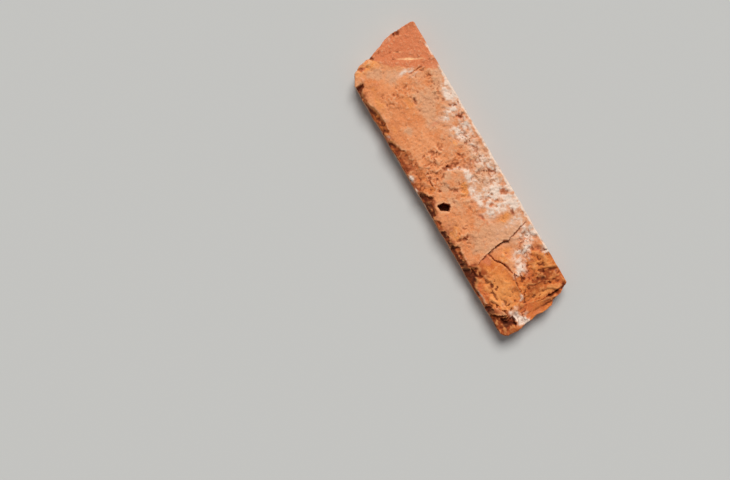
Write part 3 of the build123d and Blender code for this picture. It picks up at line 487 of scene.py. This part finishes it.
# Painted highlights: pale strokes of lime along rubbed ridges and edges that face the lamp: width, strength,
# height and route
HIGHLIGHT_STROKES = [
    (2, 1.5, 0.5, (-3.4, 9.4), (-6.6, 6), (-9.4, 1.8), (-10.8, -1.6), (-11.2, -7)),
    (2.4, 1.2, 0.5, (99.5, -3), (105, -5), (107.5, -7)),
    (5, 0.2, 0.5, (104, -5), (109, -8.6), (113.5, -14)),
    (3.6, 0.1, 0.9, (88, -28), (97, -23.6), (109, -18)),
    (1.6, 0.15, 0.6, (75.4, -17.8), (79, -15.8), (84.4, -17.4)),
    (1.6, 0.9, 0.5, (79.5, -30), (87, -31.2), (93, -30.8), (97, -28.2)),
    (1.2, 0.5, 0, (52, -26), (58, -26.4), (62, -26.2)),
    (1, 0.4, 0, (-79, -25.4), (-74, -25.2), (-62, -25.4)),
]
# How far noise bends the outlines and the creases, so that no edge is straight
OUTLINE_BEND = 0.9
CREASE_BEND = 1.3
# How sharply the highest crumbs are cut off
RUBBING = 4


def old_face(x, y):
    """The height of the old face, and its stains with the painted shade and highlights: the thickness, with
    swells, lumps, pits, creases, breaks, holes and cracks added or taken away in turn."""
    wx = x + OUTLINE_BEND * rough(x, y, 5, 61, 4, 0.6)
    wy = y + OUTLINE_BEND * rough(x, y, 5, 66, 4, 0.6)

    def bent(share):
        """The places, moved by that share of the bend of the outlines."""
        return x + share * (wx - x), y + share * (wy - y)

    red_zone = step(inside(wx, wy, RED_ZONE), -0.8, 0.8)
    worn = np.clip(bells(x, y, ROUGHENED) * (0.75 + 0.5 * rough(x, y, 7, 71, 2)), 0, 1.3)
    height = THICKNESS - 0.1 + bells(x, y, SWELLS) + moulded(x, y)
    cx = x + CREASE_BEND * rough(x, y, 4.5, 86, 4, 0.6)
    cy = y + CREASE_BEND * rough(x, y, 4.5, 88, 4, 0.6)
    # The flat lump in the middle is steep on its side towards the square end
    lump = MIDDLE_HEIGHT * step(inside(wx, wy, MIDDLE_LUMP), -0.6, 1)
    height += lump * (1 - 0.8 * step(wx, -2, 9))
    raw, brown_and_shade, scored = np.zeros((3, *x.shape))
    for outline, (depth, fall_x, fall_y), steep, ragged, grain, rawness, brown_and_shade_share in BREAKS:
        x0, y0 = outline[0]
        tooth = grain(x, y)
        floor = THICKNESS + bells(x0, y0, SWELLS) - depth - fall_x * (x - x0) - fall_y * (y - y0) + tooth
        within = inside(*bent(ragged), outline)
        slope = height - steep * np.maximum(within, 0) + 0.8 * tooth * step(within, 0, 2.5)
        wall = slope if steep else np.where(within > 0, floor, height)
        broken = np.minimum(height, np.maximum(floor, wall))
        gone = step(height - broken, 0.05, 0.45) if steep else step(within, -0.3, 0.3)
        height = broken
        raw += gone * (rawness - raw)
        brown_and_shade += gone * (brown_and_shade_share - brown_and_shade)
    for (x0, y0), (x1, y1), width, drop in FOLDS:
        dx, dy = x1 - x0, y1 - y0
        length = math.hypot(dx, dy)
        along = ((wx - x0) * dx + (wy - y0) * dy) / length
        right = ((wx - x0) * dy - (wy - y0) * dx) / length
        dent = drop * np.clip(along / length - right / width, 0, 1)
        height -= dent * step(right, -0.5, 0.3) * step(length - along, -0.5, 3.5)
    # Frost leaves a lumpy surface, cut by fine furrows where a sheet of noise crosses zero
    furrows = np.clip(1 - np.abs(rough(wx, wy, 7, 73, 3, 0.6)) / 0.16, 0, 1)
    lumps = 1.1 * rough(wx, wy, 5, 75, 4, 0.6) + 0.5 * crumbs(wx, wy, 4.2, 77) - 0.5
    lumps += 0.6 * crumbs(wx, wy, 2.1, 78)
    height += worn * (lumps - 0.9 * furrows * step(rough(x, y, 9, 79, 2), -0.3, 0.3))
    height = height + bells(wx, wy, LUMPS) + bells(wx, wy, PITS)
    uneven = np.clip(0.9 + 1.3 * noise(x, y, 2.4, 85), 0, 1.7)
    for width, depth, *route in CREASES:
        height -= uneven * depth * stripe(cx, cy, route, width, 2.2)
    for outline, depth, slope, ragged in HOLES:
        sunk = step(inside(*bent(ragged), outline), -0.2, slope)
        height -= depth * sunk
        # Painted shade: the inside of each hole is painted dark brown
        brown_and_shade = np.maximum(brown_and_shade, 1.6 * sunk)
    for width, depth, *route in CRACKS:
        d, t = from_line(*bent(0.6), route)
        width = width * np.clip(0.95 + 0.6 * noise(x, y, 3.5, 91), 0.4, 1.6)
        height -= depth * np.clip(1.15 - 2 * d / width, 0, 1) * (1 - (2 * t - 1) ** 8)
    # Lime lies in patches, and in a thin strip along two parts of the straight arris
    patchy = 1 + 0.7 * rough(x, y, 5, 201, 4, 0.6)
    lime_and_highlight = bells(wx, wy, LIME) * np.clip(patchy, 0.2, 1.8)
    strip = np.maximum(step(wx, -107, -103) * step(-wx, 94, 96), step(wx, -88, -84) * step(-wx, -88, -82))
    lime_and_highlight += 1.5 * step(wy, 30.6, 31.8) * strip
    # Painted highlights: pale strokes along the lit ridges, added to the lime
    for width, strength, ridge, *route in HIGHLIGHT_STROKES:
        mark = stripe(wx, wy, route, width)
        height += ridge * mark
        lime_and_highlight += strength * mark
    for width, strength, *route in SCRATCHES:
        mark = stripe(x, y, route, width)
        height -= SCRATCH_DEPTH * mark
        scored += strength * mark
    blotchy = 1 + 0.5 * rough(x, y, 6, 211, 4, 0.6)
    stains_and_painted_light = {
        "lime_and_highlight": lime_and_highlight,
        "pale": bells(wx, wy, PALE) * blotchy,
        "red": np.maximum(0.85 * red_zone, bells(wx, wy, RED) * blotchy),
        "bright": bells(wx, wy, BRIGHT) * blotchy,
        "brown_and_shade": np.maximum(brown_and_shade, bells(wx, wy, BROWN_AND_SHADE)) * blotchy,
        "raw": raw,
        "scored": scored,
    }
    # The highest crumbs are rubbed down
    height = TOP - np.log1p(np.exp(RUBBING * (TOP - height))) / RUBBING
    return height, stains_and_painted_light


def spaced(length, count):
    """Places from 0 to 1 along an edge, closer together near both ends, where the arris rounds off."""
    near = np.array([0, 0.1, 0.25, 0.45, 0.7, 1, 1.4, 1.9]) / length
    middle = np.linspace(near[-1], 1 - near[-1], count - 2 * len(near) + 3)[1:-1]
    return np.concatenate([near, middle, 1 - near[::-1]])


def edge_run(points, t):
    """Places along a run of points, at shares t of the way across the brick."""
    run = np.array(points, float)
    y = run[0, 1] + (run[-1, 1] - run[0, 1]) * t
    return np.stack([np.interp(y, run[:, 1], run[:, 0]), y], axis=-1)


def filled(bottom, top, left, right, u, v):
    """The places inside four edges: the blend from left to right, plus the blend from bottom to top, less the
    blend of the four corners."""
    a, b = u[:, None, None], v[None, :, None]
    across = (1 - b) * bottom[:, None] + b * top[:, None]
    along = (1 - a) * left[None] + a * right[None]
    corners = (1 - a) * ((1 - b) * left[0] + b * left[-1]) + a * ((1 - b) * right[0] + b * right[-1])
    return across + along - corners


# How many steps there are along the face and across it
ALONG, ACROSS = 450, 128
HALF_LENGTH = 126
u, v = spaced(250, ALONG), spaced(66, ACROSS)
left, right = edge_run(SQUARE_END, v), edge_run(BROKEN_END, v)
left[:, 0] += 0.45 + 0.45 * rough(left[:, 1], 0 * v, 5, 91, 5, 0.6)
right[:, 0] -= 0.3 + 0.5 * rough(right[:, 1], 0 * v, 6, 96, 5, 0.6)
left[:, 0] = np.maximum(left[:, 0], -HALF_LENGTH)
right[:, 0] = np.minimum(right[:, 0], HALF_LENGTH)


def long_edge(row, y, inwards, chipped, ragged, size, seed):
    """A long edge from end to end at that y, set in by noise times the tenth root of the sine of a half turn,
    so that it keeps its corners."""
    x = left[row, 0] + (right[row, 0] - left[row, 0]) * u
    chips = np.clip(chipped + ragged * rough(x, 0 * u, size, seed, 5, 0.6), 0, 2)
    return np.stack([x, y + inwards * chips * np.sin(np.pi * u) ** 0.1], axis=-1)


bottom = long_edge(0, WORN_EDGE, 1, 0.35, 0.4, 7, 101)
top = long_edge(-1, STRAIGHT_EDGE, -1, 0.2, 0.25, 8, 106)
plan = filled(bottom, top, left, right, u, v)

height, stains_and_painted_light = old_face(plan[..., 0], plan[..., 1])

# The rim of the face, once round, starting at the worn edge of the square end
index = np.arange((ALONG + 1) * (ACROSS + 1)).reshape(ALONG + 1, ACROSS + 1)
rim = np.concatenate([index[:-1, 0], index[-1, :-1], index[:0:-1, -1], index[0, :0:-1]])
rim_place = plan.reshape(-1, 2)[rim]

# The arris is rubbed round: near the rim the face drops along a quarter circle of a wandering radius. Only
# the outermost rows are near enough to the rim, and every third point of it will do.
RIM_BAND = 12
STRIDE = 3
ARRIS_RADIUS = 0.8
LEAST_RADIUS, MOST_RADIUS = 0.3, 2.2
near = np.ones(height.shape, bool)
near[RIM_BAND:-RIM_BAND, RIM_BAND:-RIM_BAND] = False
near_x, near_y = plan[near].T
gap = np.full(near.sum(), np.inf)
for start, end in zip(rim_place[::STRIDE], np.roll(rim_place, -STRIDE, axis=0)[::STRIDE]):
    gap = np.minimum(gap, from_run(near_x, near_y, start, end)[0])
to_rim = np.full(height.shape, np.inf)
to_rim[near] = gap
wander = 0.7 * rough(plan[..., 0], plan[..., 1], 9, 111)
radius = np.clip(ARRIS_RADIUS + wander, LEAST_RADIUS, MOST_RADIUS)
inward = np.maximum(radius - to_rim, 0)
height -= radius - np.sqrt(np.maximum(radius**2 - inward**2, 0))


def spread(values, reach):
    """The mean of each value's neighbours, out to that many rows and columns."""
    for axis in (0, 1):
        margins = [(0, 0), (0, 0)]
        margins[axis] = (reach + 1, reach)
        total = np.cumsum(np.pad(values, margins, mode="edge"), axis=axis)
        upper = np.take(total, range(2 * reach + 1, total.shape[axis]), axis=axis)
        lower = np.take(total, range(0, total.shape[axis] - 2 * reach - 1), axis=axis)
        values = (upper - lower) / (2 * reach + 1)
    return values


# Hollows are where the face lies below its neighbours, near ones and further ones
SLOW, CLOSE, WIDER = 24, 3, 9
bumps = np.clip(height - spread(height, SLOW), -1.2, 1.2)
narrow, wide = spread(bumps, CLOSE) - bumps, spread(bumps, WIDER) - bumps
# The hollows drive painted shade, darker where the face lies below its neighbours, and a painted highlight on
# crests
stains_and_painted_light["hollow"] = np.clip(narrow / 0.4, -1.2, 1.4) + np.clip(wide / 1.4, -0.8, 0.8)

# The sides: rows of points down from the rim to the sawn back, each set in by the roughness of the side. The
# shares are of the way down, and the lower rows have half as many points as the upper ones.
ROWS_FINE = [0.025, 0.06, 0.10, 0.14, 0.18, 0.23, 0.28, 0.33, 0.38, 0.43, 0.48]
ROWS_COARSE = [0.53, 0.58, 0.63, 0.68, 0.73, 0.78, 0.83, 0.87, 0.91, 0.94, 0.965, 0.985, 1]
tangent = np.roll(rim_place, -5, axis=0) - np.roll(rim_place, 5, axis=0)
tangent = tangent / np.hypot(*tangent.T)[:, None]
outward = np.stack([tangent[:, 1], -tangent[:, 0]], axis=-1)
run_length = np.cumsum(np.hypot(*(rim_place - np.roll(rim_place, 1, axis=0)).T))
rim_height = height.reshape(-1)[rim]
# Lower down the outline is a calmer one than the rim: the mean of the rim's places over some millimetres
calm_place = sum(np.roll(rim_place, shift, axis=0) for shift in range(-7, 8)) / 15


def side_row(share, pick):
    """One row of a side, that share of the way down it: places, heights, and stains with painted shade. The
    struck side is slightly wavy and pitted. The broken one is crumbs, waves and a ledge along a wandering
    line."""
    s, top_z = run_length[pick], rim_height[pick]
    z = top_z * (1 - share)
    at_break = step(rim_place[pick][:, 0] + 7 * rough(s, z, 13, 118, 4, 0.6), 103, 108)
    deep = step(share, 0, 0.12) * (1 - 0.75 * step(share, 0.9, 1))
    bed = 0.3 + 0.25 * rough(s, z, 11, 121) + 0.25 * rough(s, z, 3, 125, 3, 0.6)
    bed -= 0.3 * crumbs(s, z, 2.4, 127)
    bed = bed + 0.7 * pores(s, z, 4.5, 0.4, 128) + 0.7 * step(rough(s, z, 9, 137, 4, 0.6), 0.6, 0.9)
    torn = 1.8 + 1.4 * rough(s, z, 9, 131, 5, 0.65)
    torn = torn - crumbs(s, z, 6, 133) - 0.7 * crumbs(s, z, 2.8, 135)
    ledge = step(z - 8 - 4 * rough(s, 0 * s, 16, 139, 4, 0.6), -0.8, 0.8)
    wall = at_break * (torn + 1.1 * ledge) + (1 - at_break) * bed
    inset = np.clip(wall, 0, 4.5) * deep
    nicks = np.clip(2 * rough(s, 0 * s, 5, 143, 4, 0.6) - 1.1, 0, 1) * step(share, 0.93, 1)
    calm = step(share, 0, 0.4)
    place = rim_place[pick] * (1 - calm) + calm_place[pick] * calm
    place -= outward[pick] * (inset + nicks)[:, None]
    stain_and_painted_light = {
        "lime_and_highlight": 0.35 + 0.8 * rough(s, z, 13, 141, 5, 0.65) - 0.9 * at_break,
        "pale": 0.4 + 0.6 * rough(s, z, 20, 146),
        "red": 0.25 + 0.6 * rough(s, z, 24, 151),
        "bright": 0.3 * rough(s, z, 15, 155) * at_break,
        "brown_and_shade": (0.25 + 0.6 * rough(s, z, 7, 157, 4, 0.65)) * at_break,
        "raw": at_break,
        "scored": 0 * s,
        # Painted shade: the deeper parts of the side are painted darker
        "hollow": np.clip((wall - 0.4 - 1.6 * at_break) / (0.8 + 0.8 * at_break), -1.2, 1.2) * deep,
    }
    return np.column_stack([place, z]), stain_and_painted_light


fine = np.arange(len(rim))
coarse = fine[::2]
rows = [side_row(share, fine) for share in ROWS_FINE] + [side_row(share, coarse) for share in ROWS_COARSE]

# The sawn back: the places inside the last row, with the shallow arcs that a saw blade leaves. The arcs lie
# round the blade's middle, and their pitch and depth are in millimetres.
BLADE = (-40, 190)
SAW_PITCH = 1.6
SAW_DEPTH = 0.05
half_along, half_across = ALONG // 2, ACROSS // 2
corners = np.cumsum([0, half_along, half_across, half_along, half_across])


def four_sides(ring):
    """The worn side of a closed ring of points, its broken end, its straight side and its square end, all
    running on round the ring, and each with both its corners."""
    closed = np.concatenate([ring, ring[:1]])
    return [closed[a : b + 1] for a, b in zip(corners, corners[1:])]


worn, broken, straight, square = four_sides(rows[-1][0][:, :2])
back_plan = filled(worn, straight[::-1], square[::-1], broken, u[::2], v[::2])
inner = back_plan[1:-1, 1:-1].reshape(-1, 2)
arc = np.hypot(*(inner - BLADE).T)
saw_marks = SAW_DEPTH * np.maximum(1 + rough(arc, 0 * arc, SAW_PITCH, 161, 3), 0)
saw_marks += 0.3 * pores(*inner.T, 5, 0.15, 165)
back = np.column_stack([inner, saw_marks])
back_stain_and_painted_light = {name: np.zeros(len(back)) for name in stains_and_painted_light}
back_stain_and_painted_light["pale"] = 0.3 + 0.4 * rough(*inner.T, 25, 171)
# Painted shade: darker in the saw's grooves
back_stain_and_painted_light["hollow"] = np.clip(saw_marks * 4 - 0.6, -0.5, 1)

face_points = np.column_stack([plan.reshape(-1, 2), height.reshape(-1)])
vertices = np.concatenate([face_points] + [points for points, _ in rows] + [back])
attributes = {
    name: np.concatenate([stains_and_painted_light[name].reshape(-1)] + [stain_and_painted_light[name] for _, stain_and_painted_light in rows] + [back_stain_and_painted_light[name]])
    for name in stains_and_painted_light
}
attributes["sawn"] = np.concatenate([np.zeros(len(vertices) - len(back)), np.ones(len(back))])


def quads(a, b, c, d):
    """Four-sided faces from four lists of corners."""
    return np.stack([a, b, c, d], axis=-1).reshape(-1, 4)


faces = [quads(index[:-1, :-1], index[1:, :-1], index[1:, 1:], index[:-1, 1:])]
start = index.size
upper = rim
for points, _ in rows:
    lower = start + np.arange(len(points))
    start += len(points)
    if len(lower) == len(upper):
        faces.append(quads(upper, lower, np.roll(lower, -1), np.roll(upper, -1)))
    else:
        # Twice as many points above as below where the rows change density: five-sided faces join them
        joint = [upper[::2], lower, np.roll(lower, -1), np.roll(upper, -2)[::2], upper[1::2]]
        joined = np.stack(joint, axis=-1)
    upper = lower
under = np.empty((half_along + 1, half_across + 1), int)
under[1:-1, 1:-1] = start + np.arange(len(back)).reshape(half_along - 1, half_across - 1)
worn, broken, straight, square = four_sides(upper)
under[:, 0] = worn
under[-1, :] = broken
under[:, -1] = straight[::-1]
under[0, :] = square[::-1]
faces.append(quads(under[:-1, :-1], under[:-1, 1:], under[1:, 1:], under[1:, :-1]))


def placed(name, data):
    """An object of that name, added to the scene."""
    made = bpy.data.objects.new(name, data)
    bpy.context.collection.objects.link(made)
    return made


SHARP_ANGLE = 55
slip_mesh = bpy.data.meshes.new("brick_slip_clay")
slip_mesh.from_pydata((vertices * MM).tolist(), [], [*np.concatenate(faces).tolist(), *joined.tolist()])
for name, values in attributes.items():
    layer = slip_mesh.attributes.new(name, "FLOAT", "POINT")
    layer.data.foreach_set("value", values.astype(np.float32))
slip_mesh.shade_smooth()
slip_mesh.set_sharp_from_angle(angle=math.radians(SHARP_ANGLE))
slip = placed("brick_slip_clay", slip_mesh)


def colour(red, green, blue):
    """A colour as a screen gives it, 0 to 255, as the linear light that shaders use: its share of 255 plus
    0.055, over 1.055, to the power of 2.4, or over 12.92 where it is very dark."""
    shares = [c / 255 for c in (red, green, blue)]
    return tuple(s / 12.92 if s <= 0.04045 else ((s + 0.055) / 1.055) ** 2.4 for s in shares) + (1,)


class Value:
    """A number that varies over the surface. Sums and products with it add nodes to its finish."""

    def __init__(self, finish, socket):
        self.finish = finish
        self.socket = socket

    def math(self, operation, *values):
        return self.finish.node("Math", dict(enumerate(values)), operation=operation)

    def __add__(self, other):
        return self.math("ADD", self, other)

    def __sub__(self, other):
        return self.math("SUBTRACT", self, other)

    def __rsub__(self, other):
        return self.math("SUBTRACT", other, self)

    def __mul__(self, other):
        return self.math("MULTIPLY", self, other)

    __radd__ = __add__
    __rmul__ = __mul__

    def most(self, other):
        return self.math("MAXIMUM", self, other)

    def rise(self, low, high):
        """0 where the value is below low, 1 above high, and a smooth rise between them."""
        sockets = {"Value": self, "From Min": low, "From Max": high}
        return self.finish.node("MapRange", sockets, interpolation_type="SMOOTHSTEP")


class Finish:
    """A material and its nodes."""

    def __init__(self, name):
        self.material = bpy.data.materials.new(name)
        self.material.use_nodes = True
        self.tree = self.material.node_tree
        self.tree.nodes.clear()

    def node(self, kind, sockets, output=0, **settings):
        """Adds a node, makes its settings, fills its sockets and gives back one of its outputs. Three numbers
        in brackets are a screen's colour."""
        node = self.tree.nodes.new("ShaderNode" + kind)
        for name, setting in settings.items():
            setattr(node, name, setting)
        for name, value in sockets.items():
            if isinstance(value, Value):
                self.tree.links.new(value.socket, node.inputs[name])
            else:
                node.inputs[name].default_value = colour(*value) if isinstance(value, tuple) else value
        return Value(self, node.outputs[output]) if node.outputs else None

    def mix(self, share, first, second):
        """A colour that goes from the first to the second as the share goes from 0 to 1."""
        share_in, first_in, second_in, colour_out = 0, 6, 7, 2
        sockets = {share_in: share, first_in: first, second_in: second}
        return self.node("Mix", sockets, colour_out, data_type="RGBA")

    def painted(self, name):
        """The layer of stain and painted light of that name, as it lies on the points of the mesh."""
        return self.node("Attribute", {}, "Fac", attribute_name=name)

    def grain(self, place, size, detail=3, roughness=0.55, distortion=0):
        """Noise from 0 to 1 whose largest lumps have that size in millimetres."""
        shape = {"Detail": detail, "Roughness": roughness, "Distortion": distortion}
        return self.node("TexNoise", {"Vector": place, "Scale": 1000 / size, **shape})

    def cells(self, place, size):
        """Distance to the nearest of scattered points, in shares of that size in millimetres."""
        return self.node("TexVoronoi", {"Vector": place, "Scale": 1000 / size})

    def cover(self, mesh, sockets):
        """Ends the nodes in one shader with those sockets, and covers a mesh with the finish."""
        shell = self.node("BsdfPrincipled", sockets)
        self.node("OutputMaterial", {"Surface": shell})
        mesh.materials.append(self.material)


clay = Finish("fired_clay")
mix = clay.mix
place = clay.node("TexCoord", {}, "Object")
lime_and_highlight, pale, red, bright, brown_and_shade, raw, scored, hollow, sawn = [clay.painted(name) for name in attributes]
sunk, proud = hollow.most(0), (hollow * -1).most(0)
broad, mottle = clay.grain(place, 18, 5, 0.55), clay.grain(place, 5, 5, 0.65, 0.6)
fleck, fine_mottle = clay.grain(place, 2.6, 5, 0.7), clay.grain(place, 1.6, 4, 0.6)
sand = clay.grain(place, 0.7, 2, 0.6)

body = mix(broad.rise(0.35, 0.65), (219, 128, 73), (235, 151, 96))
body = mix(mottle.rise(0.3, 0.7) * 0.3, body, (231, 154, 104))
paled = (pale + (broad - 0.5) * 1.6 + (fleck - 0.5) * 0.8).rise(0.15, 0.95)
body = mix(paled, body, (220, 157, 114))
raw_body = mix(mottle.rise(0.3, 0.7), (198, 100, 40), (230, 134, 62))
raw_body = mix(broad.rise(0.45, 0.62) * 0.7, raw_body, (204, 100, 50))
body = mix((raw + (fleck - 0.5) * 0.5).rise(0.2, 0.9), body, raw_body)
body = mix((bright * 0.9 + (mottle - 0.5) * 0.6).rise(0.1, 0.9), body, (235, 148, 78))
body = mix((red + (fleck - 0.5) * 0.9).rise(0.2, 0.9), body, (218, 122, 77))
sawn_body = mix(fine_mottle.rise(0.3, 0.7), (206, 124, 80), (220, 142, 98))
body = mix(sawn, body, sawn_body)
body = mix(fine_mottle.rise(0.55, 0.72) * 0.55, body, (190, 102, 64))
body = mix(sand.rise(0.54, 0.7) * (0.5 - raw * 0.25), body, (244, 184, 140))
body = mix(sand.rise(0.46, 0.3) * (0.3 + raw * 0.2), body, (172, 86, 48))

# Brown of old dirt, which also paints shade along the worn arris, in the holes and on the folds of the break
browned_and_shaded = mix(fleck.rise(0.35, 0.65), (116, 46, 18), (166, 74, 32))
body = mix((brown_and_shade + (fleck - 0.5) * 1.1).rise(0.05, 1) * 0.9, body, browned_and_shaded)

# Painted highlight: proud crests are lightened, partly as rubbed wear
highlight_and_rubbing = mix(raw.most(brown_and_shade), (238, 184, 140), (243, 165, 98))
body = mix((proud + (fine_mottle - 0.5)).rise(0.25, 1.5) * 0.45, body, highlight_and_rubbing)
# Lime as a pale veil and a white film, which also carry the painted highlight strokes
lime_veil_and_highlight = (lime_and_highlight + (broad - 0.5) * 0.9 + (fleck - 0.5) * 1.2).rise(raw * 0.35 - 0.1, 1.1) * 0.68
lime_film_and_highlight = lime_and_highlight + (mottle - 0.5) * 1.4 + (fleck - 0.5) * 2 + (fine_mottle - 0.5) * 1.6
lime_film_and_highlight = (lime_film_and_highlight - sunk * 0.4).rise(0.4, 1.9)
body = mix(lime_veil_and_highlight * (1 - sawn), body, (224, 174, 142))
body = mix(lime_film_and_highlight * (1 - sawn) * 0.9, body, (238, 214, 194))
body = mix(scored.rise(0.1, 1.6), body, (255, 200, 144))
# Painted shade: the clay is darkened in hollows, where shade falls, with some grime
shade_and_dirt = (sunk * sunk * 0.6 + (fine_mottle - 0.5) * 0.7).rise(0.1, 1.3)
shade_and_grime = mix(raw.most(brown_and_shade), (146, 76, 44), (109, 45, 19))
body = mix(shade_and_dirt * (1 - lime_veil_and_highlight * 0.6) * (raw * 0.2 + 0.6), body, shade_and_grime)

# Painted shade: near black where the brown is strongest, deep in the holes and the chips of the worn arris
painted_deep_shade = (brown_and_shade + (fleck - 0.5) * 0.9).rise(1.15, 1.9) * 0.75
body = mix(painted_deep_shade, body, (82, 34, 15))

pore = 1 - clay.cells(place, 1.9).rise(0.12, 0.3)
calm = 1 - raw * 0.6
relief = sand * 0.2 + fine_mottle * 0.36 * calm + mottle * 0.22 - pore * 0.10 * (1 - lime_film_and_highlight) * calm
normal = clay.node("Bump", {"Strength": 0.9, "Distance": MM, "Height": relief})
matt = {"Roughness": 0.92 - lime_film_and_highlight * 0.04, "Specular IOR Level": 0.25, "Normal": normal}
clay.cover(slip_mesh, {"Base Color": body, **matt})
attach(slip, "root")
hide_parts("brick_slip")

# The floor: plain, pale, smooth and matt ground under the slip. It takes the slip's shadow and has no grain
# of its own.
FLOOR_REACH = 2.5
floor_mesh = bpy.data.meshes.new("floor")
directions = [(-1, -1), (1, -1), (1, 1), (-1, 1)]
floor_corners = [(x * FLOOR_REACH, y * FLOOR_REACH, 0) for x, y in directions]
floor_mesh.from_pydata(floor_corners, [], [(0, 1, 2, 3)])
floor = placed("floor", floor_mesh)
pale_floor = Finish("pale_floor")
pale_floor.cover(floor_mesh, {"Base Color": (196, 195, 191), "Roughness": 0.9})

# The light: one broad soft lamp high over the square end's straight corner, and a faint even sky. The lamp's
# spread is in degrees.
LAMP_FROM = Vector((-0.76, 0.65, 1.54))
LAMP_STRENGTH = 2.85
LAMP_SPREAD = 32
SKY_COLOUR = (0.93, 0.96, 1, 1)
SKY_STRENGTH = 0.24
lamp = bpy.data.lights.new("lamp", "SUN")
lamp.energy = LAMP_STRENGTH
lamp.angle = math.radians(LAMP_SPREAD)
lamp_object = placed("lamp", lamp)
lamp_object.rotation_euler = LAMP_FROM.to_track_quat("Z", "Y").to_euler()
world = bpy.data.worlds.new("studio")
world.use_nodes = True
sky = world.node_tree.nodes["Background"]
sky.inputs["Color"].default_value = SKY_COLOUR
sky.inputs["Strength"].default_value = SKY_STRENGTH
bpy.context.scene.world = world

# The camera: straight above, turned so that the slip lies across the frame as in the photograph. The turn
# is in degrees, and the frame's width and middle in metres.
LENS, SENSOR, FRAME_WIDTH = 70, 36, 0.5716
FRAME_MIDDLE = (0.0033, -0.0870)
TURN = 59.5
camera_data = bpy.data.cameras.new("camera")
camera_data.lens = LENS
camera_data.sensor_width = SENSOR
camera = placed("camera", camera_data)
camera.location = (*FRAME_MIDDLE, THICKNESS * MM + FRAME_WIDTH * LENS / SENSOR)
camera.rotation_euler = (0, 0, math.radians(TURN))
bpy.context.scene.camera = camera
bpy.context.scene.view_settings.view_transform = "Standard"
